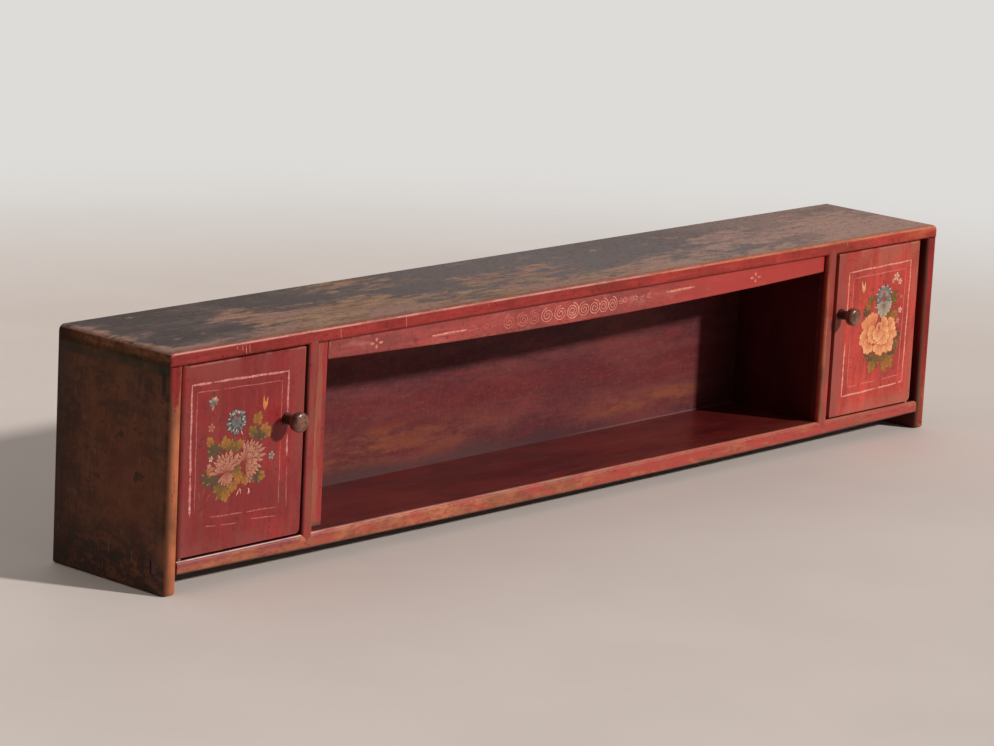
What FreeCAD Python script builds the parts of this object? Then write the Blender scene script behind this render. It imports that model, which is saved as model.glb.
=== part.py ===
import FreeCAD, Part
import os
import Sketcher

# A long, low kang cabinet: one top plank on two end panels, a door bay at each end
# and an open niche between them. Millimetres. +X runs along the length, the doors
# face -Y and +Z is up. The origin is on the floor, in the middle of the outer box.
SIZES = {
    # Carcass
    "body_length": 1704,
    "body_depth": 227,
    "body_height": 340,
    "top_thickness": 20.5,
    "end_thickness": 24,
    "ground_gap": 27,
    "rail_height": 19,
    "rail_depth": 34,
    "rail_bow": 5.5,
    "floor_thickness": 15,
    "floor_drop": 1,
    "back_thickness": 16,
    "back_inset": 29,
    "back_seam_height": 172,
    "side_bay_width": 238,
    "post_width": 20,
    "post_depth": 18,
    "partition_thickness": 16,
    # Joinery and edge shapes
    "front_round": 5,
    "end_edge_round": 7,
    "end_top_round": 9,
    "foot_round": 4,
    "mitre_depth": 7,
    "rail_tenon_width": 12,
    "rail_tenon_setback": 17,
    "tenon_shortfall": 1.5,
    "tongue_depth": 5,
    "tongue_thickness": 7,
    "housing_depth": 3,
    "groove_depth": 6,
    "panel_tenon_thickness": 10,
    "panel_tenon_width": 36,
    "panel_tenon_height": 12,
    "panel_tenon_margin": 24,
    # Apron and the jamb strip at the left of the niche
    "apron_height": 28.5,
    "apron_bow": 10,
    "apron_thickness": 10,
    "apron_setback": 9,
    "apron_end_gap": 2.5,
    "apron_edge_round": 3,
    "jamb_width": 26,
    "jamb_foot_gap": 5,
    "apron_peg_radius": 2,
    "apron_peg_bite": 9,
    # Doors
    "door_thickness": 16,
    "door_recess": 2.5,
    "door_top_gap": 2,
    "door_bottom_gap": 4,
    "left_door_hinge_gap": 1.5,
    "left_door_free_gap": 4.5,
    "left_door_corner_round": 7,
    "right_door_hinge_gap": 13,
    "right_door_free_gap": 9,
    "right_door_corner_round": 16,
    "batten_width": 28,
    "batten_thickness": 12,
    "batten_housing": 3,
    "batten_edge_gap": 30,
    "batten_side_gap": 18,
    "stop_length": 46,
    "stop_height": 13,
    "stop_thickness": 9,
    "stop_gap": 0.3,
    # Pivot pins
    "pivot_radius": 4.5,
    "pivot_clearance": 0.06,
    "pivot_in_door": 24,
    "pivot_bite": 6,
    "pivot_lift_room": 1,
    "pivot_nail_inset": 18,
    # Knobs and turn latches
    "knob_drop": 40.5,
    "left_knob_setback": 33.5,
    "right_knob_setback": 12,
    "knob_collar_radius": 9,
    "knob_collar_length": 3,
    "knob_neck_radius": 7.5,
    "knob_neck_length": 15,
    "knob_cap_radius": 14.5,
    "knob_cap_length": 13,
    "knob_crown": 2,
    "knob_cap_round": 5,
    "knob_face_gap": 0.3,
    "shank_radius": 4.5,
    "shank_clearance": 0.08,
    "shank_tail": 9,
    "latch_width": 16,
    "latch_thickness": 9,
    "latch_gap": 0.6,
    "latch_bite": 7,
    "latch_room": 1.5,
    "latch_stop_gap": 0.3,
    "latch_peg_radius": 1.6,
    "latch_peg_length": 15,
    # Fasteners
    "nail_radius": 1.2,
    "nail_head_radius": 2.6,
    "nail_head_length": 1,
    "nail_bite": 22,
    "fit_gap": 0.05,
    "overrun": 2,
}
APRON_PEG_SHARES = (0.08, 0.29, 0.5, 0.71, 0.92)
BACK_NAIL_SHARES = (0.18, 0.82)


class Size:
    """A length with the sheet formula that it comes from, for setExpression."""

    def __init__(self, value, text):
        self.value = value
        self.text = text

    def __add__(self, other):
        other = as_size(other)
        return Size(self.value + other.value, f"({self.text} + {other.text})")

    def __sub__(self, other):
        other = as_size(other)
        return Size(self.value - other.value, f"({self.text} - {other.text})")

    def __mul__(self, number):
        return Size(self.value * number, f"({self.text} * {number})")

    def __truediv__(self, number):
        return Size(self.value / number, f"({self.text} / {number})")

    def __neg__(self):
        return self * -1


def as_size(value):
    return value if isinstance(value, Size) else Size(value, str(value))


def leg(slant, other):
    """The remaining side of a right triangle with this long side and one short side."""
    value = (slant.value ** 2 - other.value ** 2) ** 0.5
    return Size(value, f"sqrt({slant.text} * {slant.text} - {other.text} * {other.text})")


def slant(one, other):
    """The long side of a right triangle."""
    value = (one.value ** 2 + other.value ** 2) ** 0.5
    return Size(value, f"sqrt({one.text} * {one.text} + {other.text} * {other.text})")


def bow_radius(chord, bow):
    """The radius of a shallow curve with this chord and this depth."""
    value = (chord.value ** 2 / 4 + bow.value ** 2) / (bow.value * 2)
    squares = f"{chord.text} * {chord.text} / 4 + {bow.text} * {bow.text}"
    return Size(value, f"(({squares}) / ({bow.text} * 2))")


def fill_sheet(doc):
    sheet = doc.addObject("Spreadsheet::Sheet", "Sizes")
    for row, (name, value) in enumerate(SIZES.items(), start=1):
        sheet.set(f"A{row}", name)
        sheet.set(f"B{row}", str(value))
        sheet.setAlias(f"B{row}", name)
    doc.recompute()
    return {name: Size(float(sheet.get(name)), f"Sizes.{name}") for name in SIZES}


class Names:
    """The named sizes as attributes."""

    def __init__(self, sizes):
        self.__dict__.update(sizes)


doc = FreeCAD.newDocument("kang_cabinet")
D = Names(fill_sheet(doc))
PARTS = []

# Places that several pieces share
half_length = D.body_length / 2
knob_reach = (
    D.knob_face_gap + D.knob_collar_length + D.knob_neck_length
    + D.knob_cap_length + D.knob_crown - D.door_recess
)
front = (knob_reach - D.body_depth) / 2
rear = front + D.body_depth
top_under = D.body_height - D.top_thickness
inner_end = half_length - D.end_thickness
rail_top = D.ground_gap + D.rail_height
floor_top = rail_top - D.floor_drop
floor_under = floor_top - D.floor_thickness
back_rear = rear - D.back_inset
back_front = back_rear - D.back_thickness
rail_rear = front + D.rail_depth
post_outer = inner_end - D.side_bay_width
post_inner = post_outer - D.post_width
post_middle = (post_outer + post_inner) / 2
post_rear = front + D.post_depth
mitre_rise = D.post_width / 2
apron_front = front + D.apron_setback
apron_rear = apron_front + D.apron_thickness
apron_low = top_under - D.apron_height
door_front = front + D.door_recess
door_rear = door_front + D.door_thickness
door_low = rail_top + D.door_bottom_gap
door_high = top_under - D.door_top_gap
pivot_inset = D.door_thickness / 2
pivot_y = door_front + pivot_inset
socket_radius = D.pivot_radius + D.pivot_clearance
latch_front = door_rear + D.latch_gap
latch_rear = latch_front + D.latch_thickness
batten_rear = door_rear - D.batten_housing + D.batten_thickness
batten_high = door_high - D.batten_edge_gap - D.batten_width
knob_height = batten_high - D.knob_drop


class Door:
    """Places along the length for one door: side is -1 at the left and 1 at the right."""

    def __init__(self, name, side, hinge_gap, free_gap, corner, knob_setback):
        self.name = name
        self.side = side
        self.corner = corner
        self.hinge_edge = inner_end - hinge_gap
        self.free_edge = post_outer + free_gap
        self.pivot = self.hinge_edge - pivot_inset
        self.knob = self.free_edge + knob_setback
        self.partition_face = post_middle + D.partition_thickness / 2
        self.latch_reach = self.knob - self.partition_face + D.latch_bite


LEFT = Door(
    "left", -1, D.left_door_hinge_gap, D.left_door_free_gap,
    D.left_door_corner_round, D.left_knob_setback,
)
RIGHT = Door(
    "right", 1, D.right_door_hinge_gap, D.right_door_free_gap,
    D.right_door_corner_round, D.right_knob_setback,
)
DOORS = (LEFT, RIGHT)


def bind(thing, prop, size):
    thing.setExpression(prop, as_size(size).text)


def place(thing, x=0, y=0, z=0):
    for axis, value in zip("xyz", (x, y, z)):
        bind(thing, f"Placement.Base.{axis}", value)


def span(low, high, side=1):
    """Two ends along the length in rising order, mirrored at the left."""
    return (low, high) if side > 0 else (-high, -low)


def box(name, x, y, z):
    """A plain block between pairs of places."""
    block = doc.addObject("Part::Box", name)
    bind(block, "Length", x[1] - x[0])
    bind(block, "Width", y[1] - y[0])
    bind(block, "Height", z[1] - z[0])
    place(block, x[0], y[0], z[0])
    return block


TURN = {
    "x": FreeCAD.Rotation(FreeCAD.Vector(0, 1, 0), 90),
    "y": FreeCAD.Rotation(FreeCAD.Vector(1, 0, 0), -90),
    "z": FreeCAD.Rotation(),
}


def rod(name, radius, length, x, y, z, along):
    """A cylinder that starts at a place and runs along a positive axis."""
    bar = doc.addObject("Part::Cylinder", name)
    bind(bar, "Radius", radius)
    bind(bar, "Height", length)
    bar.Placement.Rotation = TURN[along]
    place(bar, x, y, z)
    return bar


def joined(name, pieces):
    if len(pieces) == 1:
        return pieces[0]
    union = doc.addObject("Part::MultiFuse", name)
    union.Shapes = pieces
    return union


def cut(name, base, tools):
    result = doc.addObject("Part::Cut", name)
    result.Base = base
    result.Tool = joined(f"{name}_tools", tools)
    return result


def keep(thing, label):
    """Name a finished piece, which also names its file."""
    thing.Label = label
    PARTS.append(thing)
    return thing


def group(label, solids):
    """Several loose solids that share one name."""
    compound = doc.addObject("Part::Compound", label)
    compound.Links = solids
    return keep(compound, label)


def new_body(label):
    body = doc.addObject("PartDesign::Body", label)
    return keep(body, label)


def new_sketch(body, name, plane, offset=0):
    """A sketch on one of the body's own base planes, moved along that plane's normal."""
    sketch = body.newObject("Sketcher::SketchObject", name)
    base = next(f for f in body.Origin.OriginFeatures if f.Role == plane)
    sketch.AttachmentSupport = [(base, "")]
    sketch.MapMode = "FlatFace"
    bind(sketch, "AttachmentOffset.Base.z", offset)
    return sketch


def pin_point(sketch, curve, point, across, up):
    """Hold one point of a curve at two signed distances from the sketch's origin."""
    for kind, value in (("DistanceX", across), ("DistanceY", up)):
        value = as_size(value)
        index = sketch.addConstraint(Sketcher.Constraint(kind, -1, 1, curve, point, value.value))
        bind(sketch, f"Constraints[{index}]", value)


def add_outline(sketch, points):
    """A closed run of straight lines."""
    points = [(as_size(across), as_size(up)) for across, up in points]
    vectors = [FreeCAD.Vector(across.value, up.value, 0) for across, up in points]
    first = sketch.GeometryCount
    count = len(points)
    for number in range(count):
        line = Part.LineSegment(vectors[number], vectors[(number + 1) % count])
        sketch.addGeometry(line, False)
    for number in range(count):
        following = first + (number + 1) % count
        sketch.addConstraint(Sketcher.Constraint("Coincident", first + number, 2, following, 1))
        pin_point(sketch, first + number, 1, *points[number])


def add_rectangle(sketch, across, up):
    (left, right), (low, high) = across, up
    add_outline(sketch, [(left, low), (right, low), (right, high), (left, high)])


def add_bowed(sketch, across, up, bow):
    """A rectangle whose lower edge swells downwards in a shallow curve."""
    (left, right), (low, high) = across, up
    corners = [(left, low), (left, high), (right, high), (right, low)]
    vectors = [FreeCAD.Vector(x.value, z.value, 0) for x, z in corners]
    for start, end in zip(vectors, vectors[1:]):
        sketch.addGeometry(Part.LineSegment(start, end), False)
    lowest = FreeCAD.Vector(((left + right) / 2).value, (low - bow).value, 0)
    curve = sketch.addGeometry(Part.Arc(vectors[0], lowest, vectors[-1]), False)
    for line in range(1, curve):
        sketch.addConstraint(Sketcher.Constraint("Coincident", line - 1, 2, line, 1))
    sketch.addConstraint(Sketcher.Constraint("Coincident", curve, 1, 0, 1))
    sketch.addConstraint(Sketcher.Constraint("Coincident", curve, 2, curve - 1, 2))
    for line, corner in enumerate(corners[:-1]):
        pin_point(sketch, line, 1, *corner)
    pin_point(sketch, curve - 1, 2, *corners[-1])
    radius = bow_radius(right - left, bow)
    rule = sketch.addConstraint(Sketcher.Constraint("Radius", curve, radius.value))
    bind(sketch, f"Constraints[{rule}]", radius)


def add_circle(sketch, across, up, radius):
    across, up = as_size(across), as_size(up)
    centre = FreeCAD.Vector(across.value, up.value, 0)
    circle = Part.Circle(centre, FreeCAD.Vector(0, 0, 1), radius.value)
    index = sketch.addGeometry(circle, False)
    pin_point(sketch, index, 3, across, up)
    rule = sketch.addConstraint(Sketcher.Constraint("Radius", index, radius.value))
    bind(sketch, f"Constraints[{rule}]", radius)


def add_corner(sketch, across, up, radius):
    """The waste outside a rounded lower right corner whose sharp point is given."""
    corner = FreeCAD.Vector(across.value, up.value, 0)
    side_end = FreeCAD.Vector(across.value, (up + radius).value, 0)
    low_end = FreeCAD.Vector((across - radius).value, up.value, 0)
    centre = FreeCAD.Vector(low_end.x, side_end.y, 0)
    middle = centre + (corner - centre).normalize() * radius.value
    sketch.addGeometry(Part.LineSegment(side_end, corner), False)
    sketch.addGeometry(Part.LineSegment(corner, low_end), False)
    arc = Part.Arc(low_end, middle, side_end)
    sketch.addGeometry(arc, False)
    starts_low = sketch.Geometry[2].StartPoint.distanceToPoint(low_end) < radius.value / 2
    low_tip, side_tip = (1, 2) if starts_low else (2, 1)
    sketch.addConstraint(Sketcher.Constraint("Coincident", 0, 2, 1, 1))
    sketch.addConstraint(Sketcher.Constraint("Coincident", 1, 2, 2, low_tip))
    sketch.addConstraint(Sketcher.Constraint("Coincident", 2, side_tip, 0, 1))
    pin_point(sketch, 0, 1, across, up + radius)
    pin_point(sketch, 1, 1, across, up)
    pin_point(sketch, 1, 2, across - radius, up)
    rule = sketch.addConstraint(Sketcher.Constraint("Radius", 2, radius.value))
    bind(sketch, f"Constraints[{rule}]", radius)


def pad(body, sketch, length, backwards=False):
    feature = body.newObject("PartDesign::Pad", f"{sketch.Name}_pad")
    feature.Profile = sketch
    feature.Reversed = backwards
    bind(feature, "Length", length)
    doc.recompute()
    return feature


def pocket(body, sketch, depth, backwards=False):
    """Cut a sketch into the body, against the sketch's normal unless backwards."""
    before = body.Shape.Volume
    feature = body.newObject("PartDesign::Pocket", f"{sketch.Name}_pocket")
    feature.Profile = sketch
    feature.Reversed = backwards
    bind(feature, "Length", depth)
    doc.recompute()
    if not feature.Shape.Volume < before:
        raise RuntimeError(f"{feature.Name} cuts nothing")
    return feature


def fillet(body, name, radius, wanted):
    """Round the edges of the body's tip that the wanted function accepts."""
    base = body.Tip
    picks = [f"Edge{n}" for n, edge in enumerate(base.Shape.Edges, start=1) if wanted(edge)]
    if not picks:
        raise RuntimeError(f"{name} finds no edge")
    feature = body.newObject("PartDesign::Fillet", name)
    feature.Base = (base, picks)
    bind(feature, "Radius", radius)
    doc.recompute()
    return feature


def near(value, size):
    return abs(value - as_size(size).value) < D.fit_gap.value


def runs(edge, axis):
    """Whether an edge runs straight along an axis."""
    reach = {"x": edge.BoundBox.XLength, "y": edge.BoundBox.YLength, "z": edge.BoundBox.ZLength}
    return near(edge.Length, reach[axis])


def tip_outline(middle, level, upwards):
    """The three corners of a post's pointed tip, seen from the front."""
    rise = mitre_rise if upwards else -mitre_rise
    return [(middle - mitre_rise, level), (middle + mitre_rise, level), (middle, level + rise)]


def tenon_places():
    """The three tenons of an end panel, front to back."""
    first = front + D.panel_tenon_margin
    last = rear - D.panel_tenon_margin - D.panel_tenon_width
    starts = (first, (first + last) / 2, last)
    return [(start, start + D.panel_tenon_width) for start in starts]


def tenon_thickness_ends(side):
    """Where an end panel's tenons begin and end along the length."""
    outer = half_length - (D.end_thickness - D.panel_tenon_thickness) / 2
    return span(outer - D.panel_tenon_thickness, outer, side)


def partition_ends(side):
    """Where a partition begins and ends along the length."""
    half = D.partition_thickness / 2
    return span(post_middle - half, post_middle + half, side)


def nail_levels():
    """The heights of the nails in each back plank."""
    planks = {"lower": (floor_top, D.back_seam_height), "upper": (D.back_seam_height, top_under)}
    levels = {}
    for plank, (low, high) in planks.items():
        levels[plank] = [low + (high - low) * share for share in BACK_NAIL_SHARES]
    return levels


def apron_ends():
    return -(post_inner - D.jamb_width), post_inner - D.apron_end_gap


def apron_peg_places():
    low, high = apron_ends()
    return [low + (high - low) * share for share in APRON_PEG_SHARES]


def apron_peg_feet():
    """Where each peg begins: barely inside the apron's curved lower edge."""
    depths = [D.apron_bow * (4 * share * (1 - share)) for share in APRON_PEG_SHARES]
    return [apron_low - depth + D.fit_gap * 2 for depth in depths]


def make_top_board():
    body = new_body("top_board")
    outline = new_sketch(body, "top_outline", "XY_Plane", top_under)
    add_rectangle(outline, (-half_length, half_length), (front, rear))
    pad(body, outline, D.top_thickness)
    # The ends are rounded first, so that their lower edges stay sharp on the end panels.
    fillet(body, "top_end_round", D.end_top_round,
           lambda edge: runs(edge, "y") and near(edge.CenterOfMass.z, D.body_height))
    fillet(body, "top_front_round", D.front_round,
           lambda edge: runs(edge, "x") and near(edge.CenterOfMass.y, front))
    tips = new_sketch(body, "top_tip_notches", "XZ_Plane", -front)
    for middle in (-post_middle, post_middle):
        add_outline(tips, tip_outline(middle, top_under, True))
    pocket(body, tips, D.mitre_depth)
    mortises = new_sketch(body, "top_mortises", "XY_Plane", top_under)
    housings = new_sketch(body, "top_housings", "XY_Plane", top_under)
    sockets = new_sketch(body, "top_sockets", "XY_Plane", top_under)
    for door in DOORS:
        for place_y in tenon_places():
            add_rectangle(mortises, tenon_thickness_ends(door.side), place_y)
        add_rectangle(housings, partition_ends(door.side), (post_rear, back_front))
        add_circle(sockets, door.pivot * door.side, pivot_y, socket_radius)
    pocket(body, mortises, D.panel_tenon_height, True)
    pocket(body, housings, D.housing_depth, True)
    # These sockets are deep enough for the door to be lifted off the rail.
    pocket(body, sockets, D.pivot_bite * 2 + D.pivot_lift_room, True)
    pegs = new_sketch(body, "top_peg_holes", "XY_Plane", top_under)
    for place_x in apron_peg_places():
        add_circle(pegs, place_x, (apron_front + apron_rear) / 2, D.apron_peg_radius + D.fit_gap)
    pocket(body, pegs, D.apron_peg_bite + D.fit_gap, True)


def make_end_panel(name, side):
    body = new_body(f"{name}_end_panel")
    outline = new_sketch(body, f"{name}_end_outline", "XY_Plane")
    add_rectangle(outline, span(inner_end, half_length, side), (front, rear))
    pad(body, outline, top_under)
    fillet(body, f"{name}_end_edge_round", D.end_edge_round,
           lambda edge: runs(edge, "z") and near(edge.CenterOfMass.y, front))
    fillet(body, f"{name}_foot_round", D.foot_round,
           lambda edge: near(edge.BoundBox.ZMax, 0) and not near(edge.CenterOfMass.y, rear))
    tenons = new_sketch(body, f"{name}_end_tenons", "XY_Plane", top_under)
    for place_y in tenon_places():
        add_rectangle(tenons, tenon_thickness_ends(side), place_y)
    pad(body, tenons, D.panel_tenon_height - D.fit_gap)
    inside = inner_end * side
    mortise = new_sketch(body, f"{name}_rail_mortise", "YZ_Plane", inside)
    tenon_front = front + D.rail_tenon_setback
    add_rectangle(mortise, (tenon_front, tenon_front + D.rail_tenon_width), (D.ground_gap, rail_top))
    pocket(body, mortise, D.end_thickness + D.overrun, side > 0)
    grooves = new_sketch(body, f"{name}_end_grooves", "YZ_Plane", inside)
    add_outline(grooves, [
        (rail_rear, floor_under), (back_front, floor_under), (back_front, D.ground_gap),
        (back_rear, D.ground_gap), (back_rear, top_under), (back_front, top_under),
        (back_front, floor_top), (rail_rear, floor_top),
    ])
    pocket(body, grooves, D.groove_depth, side > 0)


def make_front_rail():
    body = new_body("front_rail")
    outline = new_sketch(body, "rail_outline", "XZ_Plane", -front)
    add_bowed(outline, (-inner_end, inner_end), (D.ground_gap, rail_top), D.rail_bow)
    pad(body, outline, D.rail_depth, True)
    fillet(body, "rail_front_round", D.front_round,
           lambda edge: near(edge.CenterOfMass.y, front) and not runs(edge, "z"))
    tenons = new_sketch(body, "rail_tenons", "XY_Plane", D.ground_gap)
    tip = half_length - D.tenon_shortfall
    tenon_front = front + D.rail_tenon_setback
    for side in (-1, 1):
        add_rectangle(
            tenons, span(inner_end, tip, side), (tenon_front, tenon_front + D.rail_tenon_width),
        )
    pad(body, tenons, D.rail_height)
    tips = new_sketch(body, "rail_tip_notches", "XZ_Plane", -front)
    for middle in (-post_middle, post_middle):
        add_outline(tips, tip_outline(middle, rail_top, False))
    pocket(body, tips, D.mitre_depth)
    groove = new_sketch(body, "rail_groove", "XZ_Plane", -rail_rear)
    add_rectangle(groove, (-inner_end, inner_end), tongue_levels())
    pocket(body, groove, D.tongue_depth, True)
    sockets = new_sketch(body, "rail_sockets", "XY_Plane", rail_top)
    for door in DOORS:
        add_circle(sockets, door.pivot * door.side, pivot_y, socket_radius)
    pocket(body, sockets, D.pivot_bite + D.pivot_lift_room)


def tongue_levels():
    """Bottom and top of the floor board's front tongue."""
    middle = (floor_top + floor_under) / 2
    return middle - D.tongue_thickness / 2, middle + D.tongue_thickness / 2


def make_floor_board():
    end = inner_end + D.groove_depth
    board = box("floor_board_main", (-end, end), (rail_rear, back_front), (floor_under, floor_top))
    tongue = box(
        "floor_board_tongue", (-inner_end, inner_end), (rail_rear - D.tongue_depth, rail_rear),
        tongue_levels(),
    )
    whole = joined("floor_board_whole", [board, tongue])
    housings = []
    for door in DOORS:
        housings.append(box(
            f"{door.name}_floor_housing", partition_ends(door.side), (rail_rear, back_front),
            (floor_top - D.housing_depth, floor_top + D.overrun),
        ))
    keep(cut("floor_board", whole, housings), "floor_board")


def make_back_boards():
    """Two planks, one on the other, with a tongue between them."""
    end = inner_end + D.groove_depth
    seam = D.back_seam_height
    middle = (back_front + back_rear) / 2
    tongue_y = (middle - D.tongue_thickness / 2, middle + D.tongue_thickness / 2)
    lower = box("lower_back_plank", (-end, end), (back_front, back_rear), (D.ground_gap, seam))
    tongue = box("lower_back_tongue", (-end, end), tongue_y, (seam, seam + D.tongue_depth))
    whole_lower = joined("lower_back_whole", [lower, tongue])
    upper = box("upper_back_plank", (-end, end), (back_front, back_rear), (seam, top_under))
    groove = box("upper_back_groove", (-end, end), tongue_y, (seam, seam + D.tongue_depth))
    holes = {"lower": [], "upper": []}
    nails = []
    for door in DOORS:
        place_x = post_middle * door.side
        for plank, levels in nail_levels().items():
            for number, level in enumerate(levels):
                tag = f"{door.name}_{plank}_{number}"
                nails.append(nail(f"back_nail_{tag}", place_x, level, 0))
                holes[plank].append(nail(f"back_hole_{tag}", place_x, level, D.fit_gap))
    keep(cut("lower_back_board", whole_lower, holes["lower"]), "lower_back_board")
    keep(cut("upper_back_board", upper, [groove] + holes["upper"]), "upper_back_board")
    group("back_nails", nails)


def nail(name, x, z, room):
    """A nail driven forwards through the back board, or its hole with some room."""
    length = D.back_thickness + D.nail_bite + room
    head_length = D.nail_head_length + room
    shank = rod(f"{name}_shank", D.nail_radius + room, length, x, back_rear - length, z, "y")
    head = rod(
        f"{name}_head", D.nail_head_radius + room, head_length, x, back_rear - head_length, z, "y",
    )
    return joined(name, [shank, head])


def make_partition(door):
    """The board between a door bay and the niche, with the slot that the latch turns into."""
    across = partition_ends(door.side)
    name = f"{door.name}_partition"
    high = top_under + D.housing_depth
    front_part = box(f"{name}_front", across, (post_rear, rail_rear), (rail_top, high))
    main = box(
        f"{name}_main", across, (rail_rear, back_front), (floor_top - D.housing_depth, high),
    )
    tongue_x = span(
        post_middle - D.tongue_thickness / 2, post_middle + D.tongue_thickness / 2, door.side,
    )
    tongue = box(
        f"{name}_tongue", tongue_x, (post_rear - D.tongue_depth, post_rear), (rail_top, top_under),
    )
    whole = joined(f"{name}_whole", [front_part, main, tongue])
    tip_radius = slant(door.latch_reach, D.latch_width / 2)
    wall_distance = door.knob - door.partition_face
    drop = leg(tip_radius, wall_distance) + D.latch_room
    depth = D.latch_bite + D.latch_room
    slot = box(
        f"{name}_slot",
        span(door.partition_face - depth, door.partition_face + D.overrun, door.side),
        (latch_front - D.latch_gap, latch_rear + D.latch_room),
        (knob_height - drop, knob_height + D.latch_width / 2 + D.latch_stop_gap),
    )
    tools = [slot]
    for plank, levels in nail_levels().items():
        for number, level in enumerate(levels):
            tag = f"{name}_hole_{plank}_{number}"
            tools.append(nail(tag, post_middle * door.side, level, D.fit_gap))
    keep(cut(name, whole, tools), name)


def make_post(door):
    """A round-edged post whose pointed tips are mitred into the top board and the rail."""
    name = f"{door.name}_post"
    body = new_body(name)
    outline = new_sketch(body, f"{name}_outline", "XY_Plane", rail_top - mitre_rise)
    across = span(post_inner, post_outer, door.side)
    add_rectangle(outline, across, (front, post_rear))
    pad(body, outline, top_under - rail_top + mitre_rise * 2)
    fillet(body, f"{name}_front_round", D.front_round,
           lambda edge: runs(edge, "z") and near(edge.CenterOfMass.y, front))
    waste = new_sketch(body, f"{name}_tip_waste", "XZ_Plane", -front)
    middle = post_middle * door.side
    for edge in across:
        add_outline(waste, [(edge, top_under), (middle, top_under + mitre_rise),
                            (edge, top_under + mitre_rise)])
        add_outline(waste, [(edge, rail_top), (middle, rail_top - mitre_rise),
                            (edge, rail_top - mitre_rise)])
    pocket(body, waste, D.post_depth + D.overrun)
    behind = new_sketch(body, f"{name}_behind_tips", "XZ_Plane", -front - D.mitre_depth)
    add_rectangle(behind, across, (top_under, top_under + mitre_rise))
    add_rectangle(behind, across, (rail_top - mitre_rise, rail_top))
    pocket(body, behind, D.post_depth)
    groove = new_sketch(body, f"{name}_groove", "XZ_Plane", -post_rear)
    half = D.tongue_thickness / 2
    add_rectangle(groove, (middle - half, middle + half), (rail_top, top_under))
    pocket(body, groove, D.tongue_depth, True)


def make_apron():
    body = new_body("apron")
    outline = new_sketch(body, "apron_outline", "XZ_Plane", -apron_front)
    add_bowed(outline, apron_ends(), (apron_low, top_under), D.apron_bow)
    pad(body, outline, D.apron_thickness, True)
    fillet(body, "apron_edge", D.apron_edge_round,
           lambda edge: near(edge.CenterOfMass.y, apron_front)
           and edge.CenterOfMass.z < apron_low.value)
    holes = new_sketch(body, "apron_peg_holes", "XY_Plane", top_under)
    for place_x in apron_peg_places():
        add_circle(holes, place_x, (apron_front + apron_rear) / 2, D.apron_peg_radius + D.fit_gap)
    pocket(body, holes, D.apron_height + D.apron_bow + D.overrun)
    pegs = []
    for number, (place_x, foot) in enumerate(zip(apron_peg_places(), apron_peg_feet())):
        pegs.append(rod(
            f"apron_peg_{number}", D.apron_peg_radius, top_under + D.apron_peg_bite - foot,
            place_x, (apron_front + apron_rear) / 2, foot, "z",
        ))
    group("apron_pegs", pegs)


def make_jamb_strip():
    """The strip on the left post that the apron runs out of; it stops short of the rail."""
    body = new_body("jamb_strip")
    low = rail_top + D.jamb_foot_gap
    outline = new_sketch(body, "jamb_outline", "XY_Plane", low)
    edge_x = D.jamb_width - post_inner
    add_rectangle(outline, (-post_inner, edge_x), (apron_front, apron_rear))
    pad(body, outline, top_under - low)
    fillet(body, "jamb_edge", D.apron_edge_round,
           lambda edge: runs(edge, "z") and near(edge.CenterOfMass.y, apron_front)
           and near(edge.CenterOfMass.x, edge_x))
    fillet(body, "jamb_foot", D.apron_edge_round,
           lambda edge: runs(edge, "y") and near(edge.CenterOfMass.x, edge_x)
           and near(edge.CenterOfMass.z, low))


def batten_levels():
    """Bottom and top of the lower and the upper batten."""
    low = door_low + D.batten_edge_gap
    return {"lower": (low, low + D.batten_width), "upper": (batten_high, batten_high + D.batten_width)}


def batten_across(door):
    return span(door.free_edge + D.batten_side_gap, door.pivot - pivot_inset, door.side)


def pivot_nail_levels():
    return door_low + D.pivot_nail_inset, door_high - D.pivot_nail_inset


def make_door(door):
    """A plank door whose hinge edge is round about the pivot pins."""
    name = f"{door.name}_door"
    body = new_body(name)
    plank = new_sketch(body, f"{name}_plank", "XY_Plane", door_low)
    add_rectangle(plank, span(door.free_edge, door.pivot, door.side), (door_front, door_rear))
    pad(body, plank, door_high - door_low)
    pivot_x = door.pivot * door.side
    edge = new_sketch(body, f"{name}_hinge_edge", "XY_Plane", door_low)
    add_circle(edge, pivot_x, pivot_y, pivot_inset)
    pad(body, edge, door_high - door_low)
    corner = new_sketch(body, f"{name}_corner", "XZ_Plane", -door_front)
    worn_edge = -door.free_edge if door is LEFT else door.hinge_edge
    add_corner(corner, worn_edge, door_low, door.corner)
    pocket(body, corner, D.door_thickness + D.overrun)
    pin_room = D.pivot_radius + D.fit_gap
    for level, upwards, tag in ((door_low, True, "low"), (door_high, False, "high")):
        hole = new_sketch(body, f"{name}_pin_hole_{tag}", "XY_Plane", level)
        add_circle(hole, pivot_x, pivot_y, pin_room)
        pocket(body, hole, D.pivot_in_door + D.fit_gap, upwards)
    knob_hole = new_sketch(body, f"{name}_knob_hole", "XZ_Plane", -door_front)
    add_circle(knob_hole, door.knob * door.side, knob_height, D.shank_radius + D.shank_clearance)
    pocket(body, knob_hole, D.door_thickness + D.overrun)
    housings = new_sketch(body, f"{name}_batten_housings", "XZ_Plane", -door_rear)
    for levels in batten_levels().values():
        add_rectangle(housings, batten_across(door), levels)
    pocket(body, housings, D.batten_housing, True)
    nail_holes = new_sketch(body, f"{name}_nail_holes", "XZ_Plane", -door_front)
    for level in pivot_nail_levels():
        add_circle(nail_holes, pivot_x, level, D.nail_radius + D.fit_gap)
    pocket(body, nail_holes, D.door_thickness - D.batten_housing)
    for tag, levels in batten_levels().items():
        batten = box(
            f"{name}_{tag}_batten", batten_across(door),
            (door_rear - D.batten_housing, batten_rear), levels,
        )
        keep(batten, f"{name}_{tag}_batten")


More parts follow.
